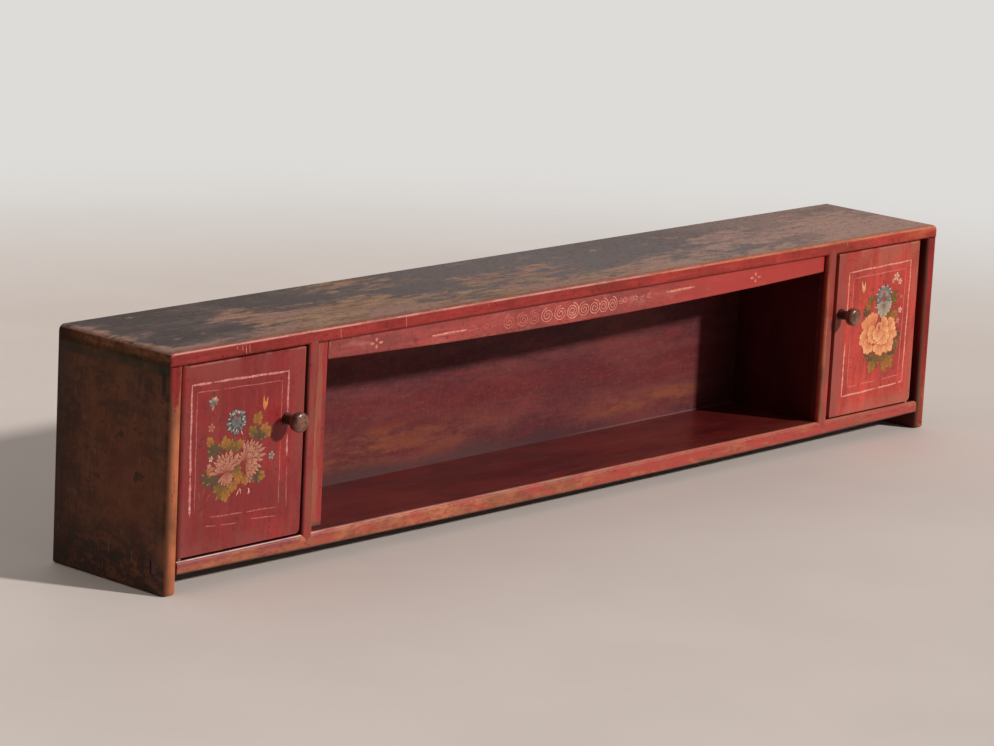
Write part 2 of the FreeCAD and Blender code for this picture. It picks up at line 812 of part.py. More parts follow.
def make_pivot_pins(door):
    """The two dowels that the door turns on, and the nails that lock them in the door."""
    pivot_x = door.pivot * door.side
    low_length = D.pivot_in_door + D.door_bottom_gap + D.pivot_bite
    high_length = D.pivot_in_door + D.door_top_gap + D.pivot_bite
    levels = pivot_nail_levels()
    starts = (door_low - D.door_bottom_gap - D.pivot_bite, door_high - D.pivot_in_door)
    pins = []
    nails = []
    for tag, start, length, level in zip(
            ("low", "high"), starts, (low_length, high_length), levels):
        pin = rod(f"{door.name}_pin_{tag}", D.pivot_radius, length, pivot_x, pivot_y, start, "z")
        nail_length = D.door_thickness - D.batten_housing - D.fit_gap
        hole = rod(
            f"{door.name}_pin_hole_{tag}", D.nail_radius + D.fit_gap, nail_length + D.fit_gap,
            pivot_x, door_front, level, "y",
        )
        pins.append(cut(f"{door.name}_drilled_pin_{tag}", pin, [hole]))
        nails.append(rod(
            f"{door.name}_pivot_nail_{tag}", D.nail_radius, nail_length,
            pivot_x, door_front, level, "y",
        ))
    group(f"{door.name}_door_pivot_pins", pins)
    group(f"{door.name}_door_pivot_nails", nails)


def make_door_stop(door):
    """The block under the top board that the closed door rests against."""
    start = door.free_edge + D.stop_gap
    keep(box(
        f"{door.name}_door_stop", span(start, start + D.stop_length, door.side),
        (door_rear + D.stop_gap, door_rear + D.stop_gap + D.stop_thickness),
        (top_under - D.stop_height, top_under),
    ), f"{door.name}_door_stop")


def make_knob(door):
    """A turned mushroom knob whose shank runs through the door."""
    name = f"{door.name}_knob"
    body = new_body(name)
    profile = new_sketch(body, f"{name}_profile", "XY_Plane")
    seat = -D.knob_face_gap
    collar = seat - D.knob_collar_length
    neck = collar - D.knob_neck_length
    cap = neck - D.knob_cap_length
    tail = D.door_thickness + D.latch_gap + D.latch_thickness + D.shank_tail
    add_outline(profile, [
        (0, tail), (0, cap - D.knob_crown), (D.knob_cap_radius / 2, cap - D.knob_crown),
        (D.knob_cap_radius, cap), (D.knob_cap_radius, neck), (D.knob_neck_radius, neck),
        (D.knob_neck_radius, collar), (D.knob_collar_radius, collar),
        (D.knob_collar_radius, seat), (D.shank_radius, seat), (D.shank_radius, tail),
    ])
    turning = body.newObject("PartDesign::Revolution", f"{name}_turning")
    turning.Profile = profile
    turning.ReferenceAxis = (profile, ["V_Axis"])
    turning.Angle = 360
    doc.recompute()
    fillet(body, f"{name}_cap_round", D.knob_cap_round,
           lambda edge: near(edge.CenterOfMass.x, 0)
           and near(edge.BoundBox.XMax, D.knob_cap_radius)
           and near(edge.BoundBox.YLength, 0))
    hole = new_sketch(body, f"{name}_peg_hole", "YZ_Plane", D.knob_cap_radius)
    peg_y = D.door_thickness + D.latch_gap + D.latch_thickness + D.latch_peg_radius
    add_circle(hole, peg_y + D.fit_gap, 0, D.latch_peg_radius + D.fit_gap)
    pocket(body, hole, D.knob_cap_radius * 2)
    place(body, door.knob * door.side, door_front, knob_height)
    peg_length = D.latch_peg_length
    peg = rod(
        f"{name}_peg", D.latch_peg_radius, peg_length, door.knob * door.side - peg_length / 2,
        door_front + peg_y + D.fit_gap, knob_height, "x",
    )
    keep(peg, f"{door.name}_latch_peg")


def make_latch(door):
    """The bar on the knob's shank: it hangs down when open and turns into the partition."""
    name = f"{door.name}_latch"
    body = new_body(name)
    half = D.latch_width / 2
    bar = new_sketch(body, f"{name}_bar", "XZ_Plane")
    add_rectangle(bar, (-half, half), (-door.latch_reach, as_size(0)))
    pad(body, bar, D.latch_thickness, True)
    hub = new_sketch(body, f"{name}_hub", "XZ_Plane")
    add_circle(hub, 0, 0, half)
    pad(body, hub, D.latch_thickness, True)
    hole = new_sketch(body, f"{name}_hole", "XZ_Plane")
    add_circle(hole, 0, 0, D.shank_radius + D.fit_gap)
    pocket(body, hole, D.latch_thickness + D.overrun)
    place(body, door.knob * door.side, latch_front, knob_height)


def make_all():
    make_top_board()
    make_end_panel("left", -1)
    make_end_panel("right", 1)
    make_front_rail()
    make_floor_board()
    make_back_boards()
    make_apron()
    make_jamb_strip()
    for door in DOORS:
        make_partition(door)
        make_post(door)
        make_door(door)
        make_pivot_pins(door)
        make_door_stop(door)
        make_knob(door)
        make_latch(door)


def check_all():
    """Stop if any object failed to build."""
    doc.recompute()
    for thing in doc.Objects:
        if "Invalid" in thing.State or "Error" in thing.State:
            raise RuntimeError(f"{thing.Name} did not build: {thing.State}")
    for piece in PARTS:
        if piece.Shape.isNull() or not piece.Shape.isValid() or not piece.Shape.Solids:
            raise RuntimeError(f"{piece.Label} is not a valid solid")


make_all()
check_all()
os.makedirs("parts", exist_ok=True)
for piece in PARTS:
    piece.Shape.exportStep(f"parts/{piece.Label}.step")
    print(piece.Label, len(piece.Shape.Solids), round(piece.Shape.Volume))
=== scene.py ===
import math
import random

import bmesh
import bpy
from mathutils import Matrix, Vector


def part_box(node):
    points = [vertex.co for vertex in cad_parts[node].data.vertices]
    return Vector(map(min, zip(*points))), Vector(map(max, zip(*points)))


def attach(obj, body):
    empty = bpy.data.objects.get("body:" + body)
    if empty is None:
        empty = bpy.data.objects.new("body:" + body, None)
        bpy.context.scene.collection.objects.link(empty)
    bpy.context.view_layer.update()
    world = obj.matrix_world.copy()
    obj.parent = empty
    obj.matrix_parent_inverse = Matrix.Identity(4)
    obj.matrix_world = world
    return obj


# A worn red lacquer kang cabinet. Lengths are metres in the shared frame, except where a
# name ends in _mm. +X runs along the cabinet, its front faces -Y and +Z is up.
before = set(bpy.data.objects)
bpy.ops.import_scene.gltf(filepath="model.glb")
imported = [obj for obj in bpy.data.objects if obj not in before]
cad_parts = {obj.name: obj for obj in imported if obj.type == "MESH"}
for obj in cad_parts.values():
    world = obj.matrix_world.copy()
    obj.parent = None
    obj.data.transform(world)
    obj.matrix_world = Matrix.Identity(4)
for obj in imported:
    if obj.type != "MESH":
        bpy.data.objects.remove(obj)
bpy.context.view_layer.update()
MM = 0.001

# The viewpoint of the photograph. The turn is from +Y towards +X, in degrees.
CAMERA_PLACE = Vector((-4.5645, -4.0654, 1.5471))
CAMERA_TURN = 47.7155
CAMERA_DIP = 12.6017
CAMERA_ROLL = 2.8969
CAMERA_LENS_MM = 149.93
SENSOR_MM = 36.0

# Daylight from the right front throws the shadows across the niche. The sky is brighter
# behind the cabinet, as the pale wall of a studio is.
LIGHT_TRAVEL = Vector((-0.535, 1.0, -0.55))
LIGHT_STRENGTH = 3.14
LIGHT_WIDTH_DEGREES = 3.5
SKY_FRONT = 0.2
SKY_BACK = 0.52
SKY_HORIZON_SHARE = 0.4
SKY_COLOUR = (1.0, 0.985, 0.965, 1.0)
FLOOR_RADIUS = 3.0
FLOOR_SOLID_RADIUS = 1.3


def srgb(red, green, blue):
    """A linear colour from 0 to 255 values."""
    shares = [value / 255 for value in (red, green, blue)]
    linear = [s / 12.92 if s <= 0.04045 else ((s + 0.055) / 1.055) ** 2.4 for s in shares]
    return (*linear, 1.0)


def blended(first, second, share):
    return tuple(a + (b - a) * share for a, b in zip(first, second))


def grown(colour, share):
    """The same colour, lighter or darker."""
    return (*[min(value * share, 1.0) for value in colour[:3]], 1.0)


def heading(angle):
    """The direction at an angle in degrees from straight up, turning right."""
    return Vector((math.sin(math.radians(angle)), math.cos(math.radians(angle))))


RED = srgb(148, 38, 34)
RED_DEEP = srgb(108, 26, 26)
RED_PALE = srgb(212, 144, 130)
RED_BROWN = srgb(112, 54, 40)
WORN_ORANGE = srgb(182, 92, 56)
WORN_BROWN = srgb(122, 66, 40)
LEFT_DOOR_RED = srgb(142, 38, 37)
# The right door's red is lighter than the left door's: its own paint plus painted light, standing for the
# brighter light at the cabinet's right end.
RIGHT_DOOR_RED_LIT = srgb(186, 62, 50)
BARE_WOOD = srgb(150, 112, 76)
BARE_WOOD_DARK = srgb(92, 64, 44)
BACKGROUND = srgb(222, 220, 217)
FLOOR = srgb(230, 215, 205)
COAT_ROUGHNESS = 0.16
# How bright the bare wood is that shows behind and below.
REAR_SHADE = 0.48


class Tree:
    """A node tree, written as a chain of calls."""

    def __init__(self, owner):
        owner.use_nodes = True
        self.tree = owner.node_tree
        self.here = self.node("TexCoord").outputs

    def feed(self, socket, value):
        if isinstance(value, bpy.types.NodeSocket):
            self.tree.links.new(value, socket)
        else:
            socket.default_value = value

    def node(self, kind, inputs=None, **settings):
        """A new node with its settings, and with its inputs by number or name."""
        node = self.tree.nodes.new("ShaderNode" + kind)
        for name, setting in settings.items():
            setattr(node, name, setting)
        for key, value in (inputs or {}).items():
            self.feed(node.inputs[key], value)
        return node

    def split(self, vector):
        return self.node("SeparateXYZ", {0: vector}).outputs

    def sum(self, operation, first, second=0.0, third=0.0):
        return self.node("Math", {0: first, 1: second, 2: third}, operation=operation).outputs[0]

    def product(self, *parts):
        """The parts multiplied. A part of three is a value that steps from its low to its high."""
        first, *others = [self.step(*part) if isinstance(part, tuple) else part for part in parts]
        for other in others:
            first = self.sum("MULTIPLY", first, other)
        return first

    def plus(self, base, value, times):
        """The base and so many times the value."""
        return self.sum("MULTIPLY_ADD", value, times, base)

    def step(self, value, low, high, first=0.0, last=1.0):
        """The first number at low, the last at high and smooth between them."""
        inputs = {"Value": value, "From Min": low, "From Max": high, "To Min": first, "To Max": last}
        return self.node("MapRange", inputs, interpolation_type="SMOOTHSTEP").outputs[0]

    def show(self, output, shade, first, second):
        """Send a blend of two shaders to the tree's output."""
        blend = self.node("MixShader", {0: shade, 1: first.outputs[0], 2: second.outputs[0]})
        self.feed(self.tree.nodes[output].inputs["Surface"], blend.outputs[0])


class Graph(Tree):
    """A material's node tree."""

    def __init__(self, name):
        self.material = bpy.data.materials.new(name)
        super().__init__(self.material)
        self.shader = self.tree.nodes["Principled BSDF"]
        self.place = self.here["Object"]
        self.x, self.y, self.z = self.split(self.place)
        self.face_x, self.face_y, self.face_z = self.split(self.here["Normal"])

    def vector(self, operation, first, second=(0, 0, 0), third=(0, 0, 0)):
        node = self.node("VectorMath", {0: first, 1: second, 2: third}, operation=operation)
        return node.outputs["Value" if operation == "LENGTH" else "Vector"]

    def noise(self, per_metre, shift=0.0, detail=4.0, rough=0.55, twist=0.0):
        """Noise from 0 to 1 that repeats so many times in a metre, or so along x, y and z."""
        counts = per_metre if isinstance(per_metre, tuple) else (per_metre,) * 3
        spot = self.vector("MULTIPLY_ADD", self.place, counts, (shift, shift * 0.7, -shift))
        return self.node("TexNoise", {
            "Vector": spot, "Scale": 1.0, "Detail": detail, "Roughness": rough, "Distortion": twist,
        }).outputs[0]

    def band(self, value, middle, half, soft):
        """1 within half of the middle, fading out over soft."""
        away = self.sum("ABSOLUTE", self.sum("SUBTRACT", value, middle))
        return self.step(away, half + soft, half)

    def spot(self, middle, reach, full):
        """1 about a place, fading to 0 at its reach along each axis."""
        away = self.vector("DIVIDE", self.vector("SUBTRACT", self.place, middle), reach)
        return self.step(self.vector("LENGTH", away), 1.0, full)

    def mix(self, share, first, second, kind="MIX"):
        return self.node("Mix", {0: share, 6: first, 7: second}, data_type="RGBA", blend_type=kind).outputs[2]

    def stained(self, colour, *stains):
        """A colour under stains, each a tint and the parts whose product is its share."""
        for tint, *parts in stains:
            colour = self.mix(self.product(*parts), colour, tint)
        return colour

    def dimmed(self, colour, share):
        return self.mix(1.0, colour, (share, share, share, 1.0), "MULTIPLY")

    def between(self, share, low, high):
        """A plain number between two others."""
        return self.plus(low, share, high - low)

    def edge_distance(self, low, high):
        """How far a point on a box's surface is from the box's nearest edge."""
        middle, half = (low + high) / 2, (high - low) / 2
        away = self.vector("ABSOLUTE", self.vector("SUBTRACT", self.place, tuple(middle)))
        a, b, c = self.split(self.vector("SUBTRACT", tuple(half), away))
        smaller = self.sum("MINIMUM", a, b)
        larger = self.sum("MAXIMUM", a, b)
        return self.sum("MAXIMUM", smaller, self.sum("MINIMUM", larger, c))

    def surface(self, colour, roughness, height, depth_mm, shine=0.3, coat=0.0):
        """Feed the shader. The height from 0 to 1 stands for so many millimetres."""
        bump = self.node("Bump", {"Strength": 1.0, "Distance": depth_mm * MM, "Height": height})
        self.feed(self.shader.inputs["Normal"], bump.outputs[0])
        self.feed(self.shader.inputs["Base Color"], colour)
        self.feed(self.shader.inputs["Roughness"], roughness)
        self.shader.inputs["Specular IOR Level"].default_value = shine
        self.shader.inputs["Coat Weight"].default_value = coat
        self.shader.inputs["Coat Roughness"].default_value = COAT_ROUGHNESS
        return self.material


# How often the grain repeats in a metre: along the grain and across it.
GRAIN_FINE = (26.0, 620.0)
GRAIN_STREAKS = (7.0, 90.0)
GRAIN_PATCHES = (5.0, 26.0)


def per_metre(grain, along):
    """Noise counts for x, y and z where the grain runs along one axis."""
    slow, fast = grain
    return tuple(slow if axis == along else fast for axis in "xyz")


def wood_height(g, along, shift):
    """A surface that rolls a little and has grain and small dents."""
    roll = g.noise(9.0, shift + 3.0, 2.0)
    grain = g.noise(per_metre(GRAIN_FINE, along), shift, 3.0)
    dents = g.step(g.noise(150.0, shift + 8.0, 2.0), 0.72, 0.62)
    height = g.plus(roll, grain, 0.22)
    return g.plus(height, dents, 0.25)


def edge_wear(g, node, along, shift, width_mm, bias, rubbed=0.0):
    """Where the paint is rubbed off, from 0 to 1: along the edges and in rubbed places."""
    far = g.sum("DIVIDE", g.edge_distance(*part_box(node)), width_mm * MM)
    near = g.sum("SUBTRACT", 1.0, g.sum("MINIMUM", far, 1.0))
    patches = g.noise(per_metre(GRAIN_PATCHES, along), shift + 11.0, 8.0, 0.7)
    chips = g.noise(170.0, shift + 17.0, 5.0, 0.65)
    chance = g.plus(bias - 0.2, patches, 1.5)
    chance = g.plus(g.sum("SUBTRACT", chance, 0.15), chips, 0.9)
    chance = g.sum("ADD", rubbed, chance)
    return g.step(g.sum("ADD", near, chance), 1.02, 1.22)


def red_paint(g, along, shift, red):
    """Red lacquer with slow shading, streaks along the grain, brown scuffs and dark specks."""
    slow = g.noise(7.0, shift, 6.0, 0.65)
    streaks = g.noise(per_metre(GRAIN_STREAKS, along), shift + 5.0, 7.0, 0.7)
    scuffs = g.noise(per_metre(GRAIN_PATCHES, along), shift + 21.0, 8.0, 0.72)
    mottle = g.noise(190.0, shift + 24.0, 4.0, 0.7)
    specks = g.noise(130.0, shift + 27.0, 3.0, 0.6)
    return g.stained(
        grown(red, 0.72),
        (grown(red, 1.06), (slow, 0.4, 0.6)),
        (grown(red, 1.35), (streaks, 0.52, 0.64), 0.5),
        (grown(red, 0.6), (streaks, 0.48, 0.36), 0.6),
        (RED_BROWN, (scuffs, 0.54, 0.66), 0.6),
        (grown(red, 0.62), (mottle, 0.5, 0.38), 0.45),
        (grown(red, 0.4), (specks, 0.6, 0.66), 0.6),
    )


def worn_wood(g, along, shift, dark=WORN_BROWN, light=WORN_ORANGE):
    """The wood that shows where the lacquer is gone."""
    grain = g.noise(per_metre(GRAIN_FINE, along), shift + 2.0, 5.0, 0.6)
    tone = g.noise(14.0, shift + 31.0, 4.0)
    return g.stained(dark, (light, (tone, 0.35, 0.65)), (RED_DEEP, (grain, 0.45, 0.3), 0.6))


def bare_wood_colour(g, along, shift):
    grain = g.noise(per_metre(GRAIN_STREAKS, along), shift, 8.0, 0.65, 0.4)
    lines = g.noise(per_metre(GRAIN_FINE, along), shift + 2.0, 4.0)
    dark = grown(BARE_WOOD_DARK, 0.7)
    return g.stained(BARE_WOOD_DARK, (BARE_WOOD, (grain, 0.3, 0.7)), (dark, (lines, 0.45, 0.3)))


def gloss(g, along, shift, low, high):
    """Roughness that varies with rubbing."""
    rubbed = g.noise(per_metre(GRAIN_PATCHES, along), shift + 41.0, 5.0)
    return g.between(g.step(rubbed, 0.3, 0.7), low, high)


def lacquered(g, node, along, shift, wear, rubbed, red, stains):
    """Red lacquer, rubbed through to wood, under stains."""
    worn = edge_wear(g, node, along, shift, *wear, rubbed)
    colour = g.mix(worn, red_paint(g, along, shift, red), worn_wood(g, along, shift))
    colour = g.stained(colour, *stains)
    height = g.plus(wood_height(g, along, shift), worn, -0.3)
    return g.surface(colour, gloss(g, along, shift, 0.34, 0.52), height, 0.35, 0.3, 0.25)


def bare_wood(node, along, shift, share=1.0):
    g = Graph(f"{node}_bare_wood")
    colour = g.dimmed(bare_wood_colour(g, along, shift), share)
    return g.surface(colour, gloss(g, along, shift, 0.6, 0.8), wood_height(g, along, shift), 0.3)


# Where the top is rubbed to brown wood: middle and reach along x and y, and strength.
TOP_WORN_PLACES = (
    (-0.46, -0.05, 0.28, 0.12, 1.0),
    (-0.60, 0.03, 0.09, 0.07, 0.55),
    (-0.31, 0.09, 0.16, 0.07, 0.45),
    (-0.07, 0.012, 0.24, 0.07, 0.5),
    (-0.02, -0.07, 0.34, 0.06, 0.6),
    (0.24, -0.045, 0.18, 0.06, 0.5),
    (0.45, 0.0, 0.2, 0.12, 0.5),
    (0.74, -0.03, 0.24, 0.18, 0.85),
)


def top_worn(g, streaks):
    """Where the top's black lacquer is rubbed off: in ragged places and along its edges."""
    low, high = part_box("top_board")
    patches = g.noise((12.0, 30.0, 30.0), 4.2, 10.0, 0.72, 0.4)
    chance = g.plus(g.product(g.sum("SUBTRACT", streaks, 0.5), 1.1), patches, 3.2)
    for x, y, reach_x, reach_y, strength in TOP_WORN_PLACES:
        place = g.spot((x, y, high.z), (reach_x, reach_y, 1.0), 0.15)
        chance = g.plus(chance, place, strength)
    chance = g.plus(chance, g.step(g.y, low.y + 0.05, low.y), 0.6)
    chance = g.plus(chance, g.step(g.x, low.x + 0.035, low.x + 0.01), 0.6)
    return g.step(chance, 1.78, 2.26)


def top_colour(g, worn, streaks):
    """Grey-black lacquer, greyer to the right, over brown wood, with an orange front edge."""
    low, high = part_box("top_board")
    broad = g.noise((6.0, 14.0, 14.0), 14.0, 6.0, 0.65)
    fine = g.noise((70.0, 130.0, 130.0), 8.0, 6.0, 0.72)
    brown = g.stained(
        srgb(138, 102, 78),
        (srgb(180, 140, 112), (streaks, 0.36, 0.64)),
        (srgb(165, 124, 110), (broad, 0.46, 0.58)),
        (srgb(186, 150, 138), (g.x, -0.1, 0.4), 0.65),
        (srgb(92, 64, 48), (fine, 0.48, 0.36), 0.5),
    )
    specks = g.step(g.noise(240.0, 6.0, 2.0), 0.64, 0.7)
    for x in (0.067, 0.446):
        nick = g.spot((x, low.y + 0.02, high.z), (0.012, 0.006, 1.0), 0.3)
        specks = g.sum("MAXIMUM", specks, g.product(nick, (fine, 0.4, 0.5)))
    edge = g.mix(g.step(g.x, -0.4, 0.8), srgb(138, 76, 58), srgb(176, 96, 64))
    return g.stained(
        srgb(86, 74, 70),
        (srgb(116, 104, 101), (g.x, -0.75, 0.1)),
        (srgb(148, 120, 110), (g.x, 0.3, 0.65)),
        (srgb(118, 100, 94), (broad, 0.5, 0.62), 0.6),
        (srgb(60, 48, 44), (fine, 0.48, 0.36), 0.4),
        (brown, worn, 0.85),
        (srgb(44, 30, 26), specks, 0.8),
        (edge, (g.y, low.y + 0.016, low.y + 0.002), (fine, 0.36, 0.56)),
    )


def top_front_colour(g):
    """The red front edge, brighter to the right by painted light, with a thin pale upper edge that is part
    rubbed wear and part painted highlight.
    """
    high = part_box("top_board")[1]
    rubbed = g.noise((14.0, 60.0, 60.0), 4.0, 7.0, 0.7)
    # Two reds, the right one lighter: painted light for the brighter light towards the right end.
    dull = red_paint(g, "x", 2.0, srgb(146, 50, 46))
    bright = red_paint(g, "x", 2.0, srgb(178, 64, 54))
    # The pale upper rounding and the thin line along the top are part rubbed wear, part painted highlight.
    soft = g.product((g.face_z, 0.1, 0.6), g.between(g.step(rubbed, 0.36, 0.6), 0.1, 0.4))
    lip = g.between(g.step(rubbed, 0.4, 0.52), 0.45, 0.95)
    lip = g.product((g.z, high.z - 0.0045, high.z - 0.002), lip)
    pale = g.mix(g.step(g.x, -0.1, 0.4), srgb(218, 152, 138), srgb(208, 122, 88))
    corner = g.spot((high.x, -0.098, high.z), (0.13, 1.0, 1.0), 0.1)
    return g.stained(
        dull,
        (bright, (g.x, -0.5, 0.9)),
        (srgb(192, 104, 74), corner, (rubbed, 0.4, 0.56), 0.7),
        (pale, g.sum("MAXIMUM", soft, lip)),
        (worn_wood(g, "x", 2.0), edge_wear(g, "top_board", "x", 2.0, 4.0, -0.84)),
    )


def top_lacquer():
    """A grey-black top, a red front edge, varnished ends and a bare back."""
    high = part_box("top_board")[1]
    g = Graph("top_board_lacquer")
    streaks = g.noise((14.0, 80.0, 80.0), 1.3, 7.0, 0.72)
    worn = top_worn(g, streaks)
    end = (g.sum("ABSOLUTE", g.x), high.x - 0.0095, high.x - 0.006)
    colour = g.stained(
        top_front_colour(g),
        (top_colour(g, worn, streaks), (g.face_z, 0.5, 0.86)),
        (varnish_colour(g), end, (g.face_z, 0.8, 0.5), (g.face_y, -0.75, -0.4)),
        (g.dimmed(bare_wood_colour(g, "x", 3.0), REAR_SHADE), (g.face_y, 0.5, 0.8)),
    )
    height = g.plus(wood_height(g, "x", 2.0), worn, -0.35)
    return g.surface(colour, g.between(worn, 0.6, 0.68), height, 0.4, 0.1)


def varnish_colour(g):
    """Old dark brown varnish, blotchy, with an olive bloom along the top's seam and a dirty foot."""
    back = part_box("left_end_panel")[1].y
    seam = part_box("top_board")[0].z
    lines = g.noise((400.0, 300.0, 16.0), 2.0, 6.0, 0.66)
    blotch = g.noise((26.0, 22.0, 30.0), 15.0, 8.0, 0.72)
    mottle = g.noise((90.0, 70.0, 120.0), 5.0, 6.0, 0.7)
    smears = g.noise((30.0, 30.0, 40.0), 9.0, 8.0, 0.74)
    scratches = g.noise((60.0, 420.0, 30.0), 33.0, 3.0, 0.7)
    heart = g.spot((0.0, -0.02, 0.15), (9.0, 0.1, 0.12), 0.0)
    bloom = g.band(g.z, seam - 0.003, 0.004, 0.012)
    above = (g.z, seam + 0.004, seam + 0.01)
    foot = g.product((g.z, 0.12, 0.03), (mottle, 0.42, 0.56))
    dirt = g.sum("MAXIMUM", foot, g.product((g.y, back - 0.06, back), 0.8))
    return g.stained(
        srgb(74, 40, 23),
        (srgb(102, 56, 32), (blotch, 0.4, 0.58)),
        (srgb(48, 27, 18), (lines, 0.5, 0.38), 0.45),
        (srgb(112, 68, 36), (mottle, 0.54, 0.64), 0.5),
        (srgb(110, 54, 34), heart, 0.55),
        (srgb(112, 66, 37), (g.z, 0.2, 0.28), (smears, 0.44, 0.64), 0.55),
        (srgb(124, 80, 54), above, (g.y, back - 0.03, back - 0.07), (mottle, 0.4, 0.6)),
        (srgb(50, 43, 20), bloom, (blotch, 0.4, 0.52), 0.8),
        (srgb(38, 25, 22), dirt, 0.8),
        (srgb(34, 22, 17), (blotch, 0.58, 0.66), 0.7),
        (srgb(140, 104, 70), (scratches, 0.64, 0.7), 0.6),
    )


# The wood rubbed bare on the left and the right end panel's front edge.
PANEL_WOOD = {-1: (srgb(122, 70, 42), srgb(178, 100, 64)), 1: (srgb(100, 48, 30), srgb(156, 78, 50))}


def end_panel_finish(node, outward):
    """A dark varnished outer face, a front edge rubbed to wood and a red inner face; the rubbed front edge
    carries painted shade towards low x.
    """
    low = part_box(node)[0]
    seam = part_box("top_board")[0].z
    g = Graph(f"{node}_varnish")
    brown = g.stained(
        varnish_colour(g),
        (srgb(124, 72, 42), g.spot((low.x, low.y, 0.06), (9.0, 0.03, 0.03), 0.2), 0.6),
        (srgb(16, 14, 16), g.band(g.y, low.y + 0.012, 0.002, 0.005), g.band(g.z, 0.295, 0.008, 0.02), 0.8),
    )
    rubbed = g.product((g.z, seam - 0.02, seam - 0.075), 0.62 if outward < 0 else 0.12)
    rubbed = g.plus(rubbed, g.step(g.z, 0.1, 0.05), 0.3)
    worn = edge_wear(g, node, "z", 6.0, 9.0, -0.3, rubbed)
    # The rubbed wood of the front edge darkens towards low x: painted shade on the side the light does not
    # reach.
    across = g.step(g.x, low.x + 0.002, low.x + 0.016)
    wood = g.mix(across, srgb(92, 52, 32), worn_wood(g, "z", 6.0, *PANEL_WOOD[outward]))
    front = g.mix(worn, red_paint(g, "z", 6.0, grown(RED, 0.9)), wood)
    tone = g.noise((10.0, 10.0, 5.0), 5.0, 5.0, 0.6)
    rear = g.dimmed(bare_wood_colour(g, "z", 3.0), REAR_SHADE)
    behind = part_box("lower_back_board")[1].y
    inner = g.stained(
        srgb(70, 16, 16),
        (RED_DEEP, (tone, 0.4, 0.6)),
        (rear, (g.y, behind - 0.1 * MM, behind + 0.1 * MM)),
    )
    out = g.product(g.face_x, float(outward))
    colour = g.stained(
        brown,
        (front, (out, 0.9, 0.5), (g.y, -0.086, -0.09)),
        (inner, (out, -0.6, -0.9)),
        (rear, (g.face_y, 0.5, 0.8)),
    )
    height = g.plus(wood_height(g, "z", 6.0), tone, 0.5)
    return g.surface(colour, gloss(g, "z", 6.0, 0.46, 0.62), height, 0.5, 0.2)


def door_finish(side, shift, red, rim_colour):
    """Red lacquer, browner towards the rim, rubbed at its upper right corner, bare behind."""
    node = f"{side}_door"
    low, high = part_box(node)
    g = Graph(f"{node}_lacquer")
    rim = g.edge_distance(low, high)
    patches = g.noise((16.0, 16.0, 8.0), shift + 2.0, 7.0, 0.7)
    brown = g.product((rim, 0.03, 0.004), (patches, 0.38, 0.56))
    upper = g.product((g.z, high.z - 0.05, high.z - 0.012), (patches, 0.4, 0.58))
    colour = g.stained(red_paint(g, "z", shift, red), (rim_colour, g.sum("MAXIMUM", brown, upper), 0.75))
    if side == "right":
        colour = g.stained(colour, (srgb(134, 60, 52), (g.x, low.x + 0.034, low.x + 0.006), 0.6))
    corner = g.spot((high.x, low.y, high.z), (0.06, 1.0, 0.05), 0.0)
    worn = edge_wear(g, node, "z", shift, 2.6, -0.78, g.product(corner, 0.5))
    drips = g.noise((40.0, 40.0, 12.0), shift + 9.0, 4.0)
    rear = g.stained(bare_wood_colour(g, "z", shift), (RED_DEEP, (drips, 0.58, 0.66), (rim, 0.03, 0.0)))
    colour = g.stained(
        colour,
        (worn_wood(g, "z", shift), worn),
        (RED_PALE, (g.z, high.z - 0.003, high.z - 0.001), (patches, 0.44, 0.58), 0.3),
        (rear, (g.face_y, 0.4, 0.8)),
    )
    height = g.plus(wood_height(g, "z", shift), worn, -0.3)
    return g.surface(colour, gloss(g, "z", shift, 0.4, 0.56), height, 0.3, 0.24, 0.1)


def rail_finish():
    """Orange-brown rubbed lacquer with a pale rounded lip that is part wear and part painted highlight, a
    floor-red top with a painted shadow below the left door, and painted shade on its underside.
    """
    low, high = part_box("front_rail")
    g = Graph("front_rail_lacquer")
    patches = g.noise((14.0, 50.0, 50.0), 51.0, 8.0, 0.72)
    fine = g.noise((80.0, 190.0, 190.0), 57.0, 5.0, 0.7)
    chance = g.plus(patches, g.band(g.x, -0.26, 0.14, 0.28), 0.11)
    wood = worn_wood(g, "x", 1.0, srgb(136, 74, 46), srgb(176, 100, 64))
    wood = g.stained(wood, (srgb(124, 48, 38), (fine, 0.5, 0.4), 0.6))
    red = g.stained(
        srgb(162, 58, 46),
        (srgb(134, 58, 54), (g.x, -0.5, -0.62)),
        (srgb(96, 34, 34), (fine, 0.46, 0.34), 0.6),
        (srgb(158, 84, 50), (g.x, -0.5, -0.6), (g.z, high.z - 0.007, high.z - 0.011), (fine, 0.4, 0.5), 0.75),
    )
    # The pale line on the rounded top lip is part rubbed wear, part painted highlight, whitest at the left.
    pale = g.mix(g.step(g.x, -0.3, 0.3), srgb(220, 150, 134), srgb(204, 124, 98))
    pale = g.stained(pale, (srgb(250, 210, 206), (g.x, -0.54, -0.6)))
    flat = g.mix(g.step(patches, 0.4, 0.6), srgb(88, 28, 26), srgb(112, 38, 32))
    # Painted shadow on the rail's top just below the left door.
    door_shadow_span = (g.x, -0.585, -0.595)
    colour = g.stained(
        red,
        (wood, (chance, 0.48, 0.62)),
        (pale, (g.face_z, 0.66, 0.9), g.between(g.step(patches, 0.4, 0.54), 0.5, 0.9)),
        (flat, (g.face_z, 0.9, 0.98), (g.y, low.y + 0.0065, low.y + 0.0085)),
        (srgb(60, 16, 16), (g.face_z, 0.86, 0.96), (g.y, low.y + 0.003, low.y + 0.0045), door_shadow_span),
        # Painted shade on the downward-facing underside.
        (srgb(48, 26, 24), (g.face_z, -0.2, -0.75)),
        (srgb(66, 26, 20), (g.sum("ABSOLUTE", g.x), high.x - 2 * MM, high.x - MM)),
    )
    height = g.plus(wood_height(g, "x", 1.0), patches, 0.4)
    return g.surface(colour, gloss(g, "x", 1.0, 0.36, 0.54), height, 0.35, 0.3, 0.2)


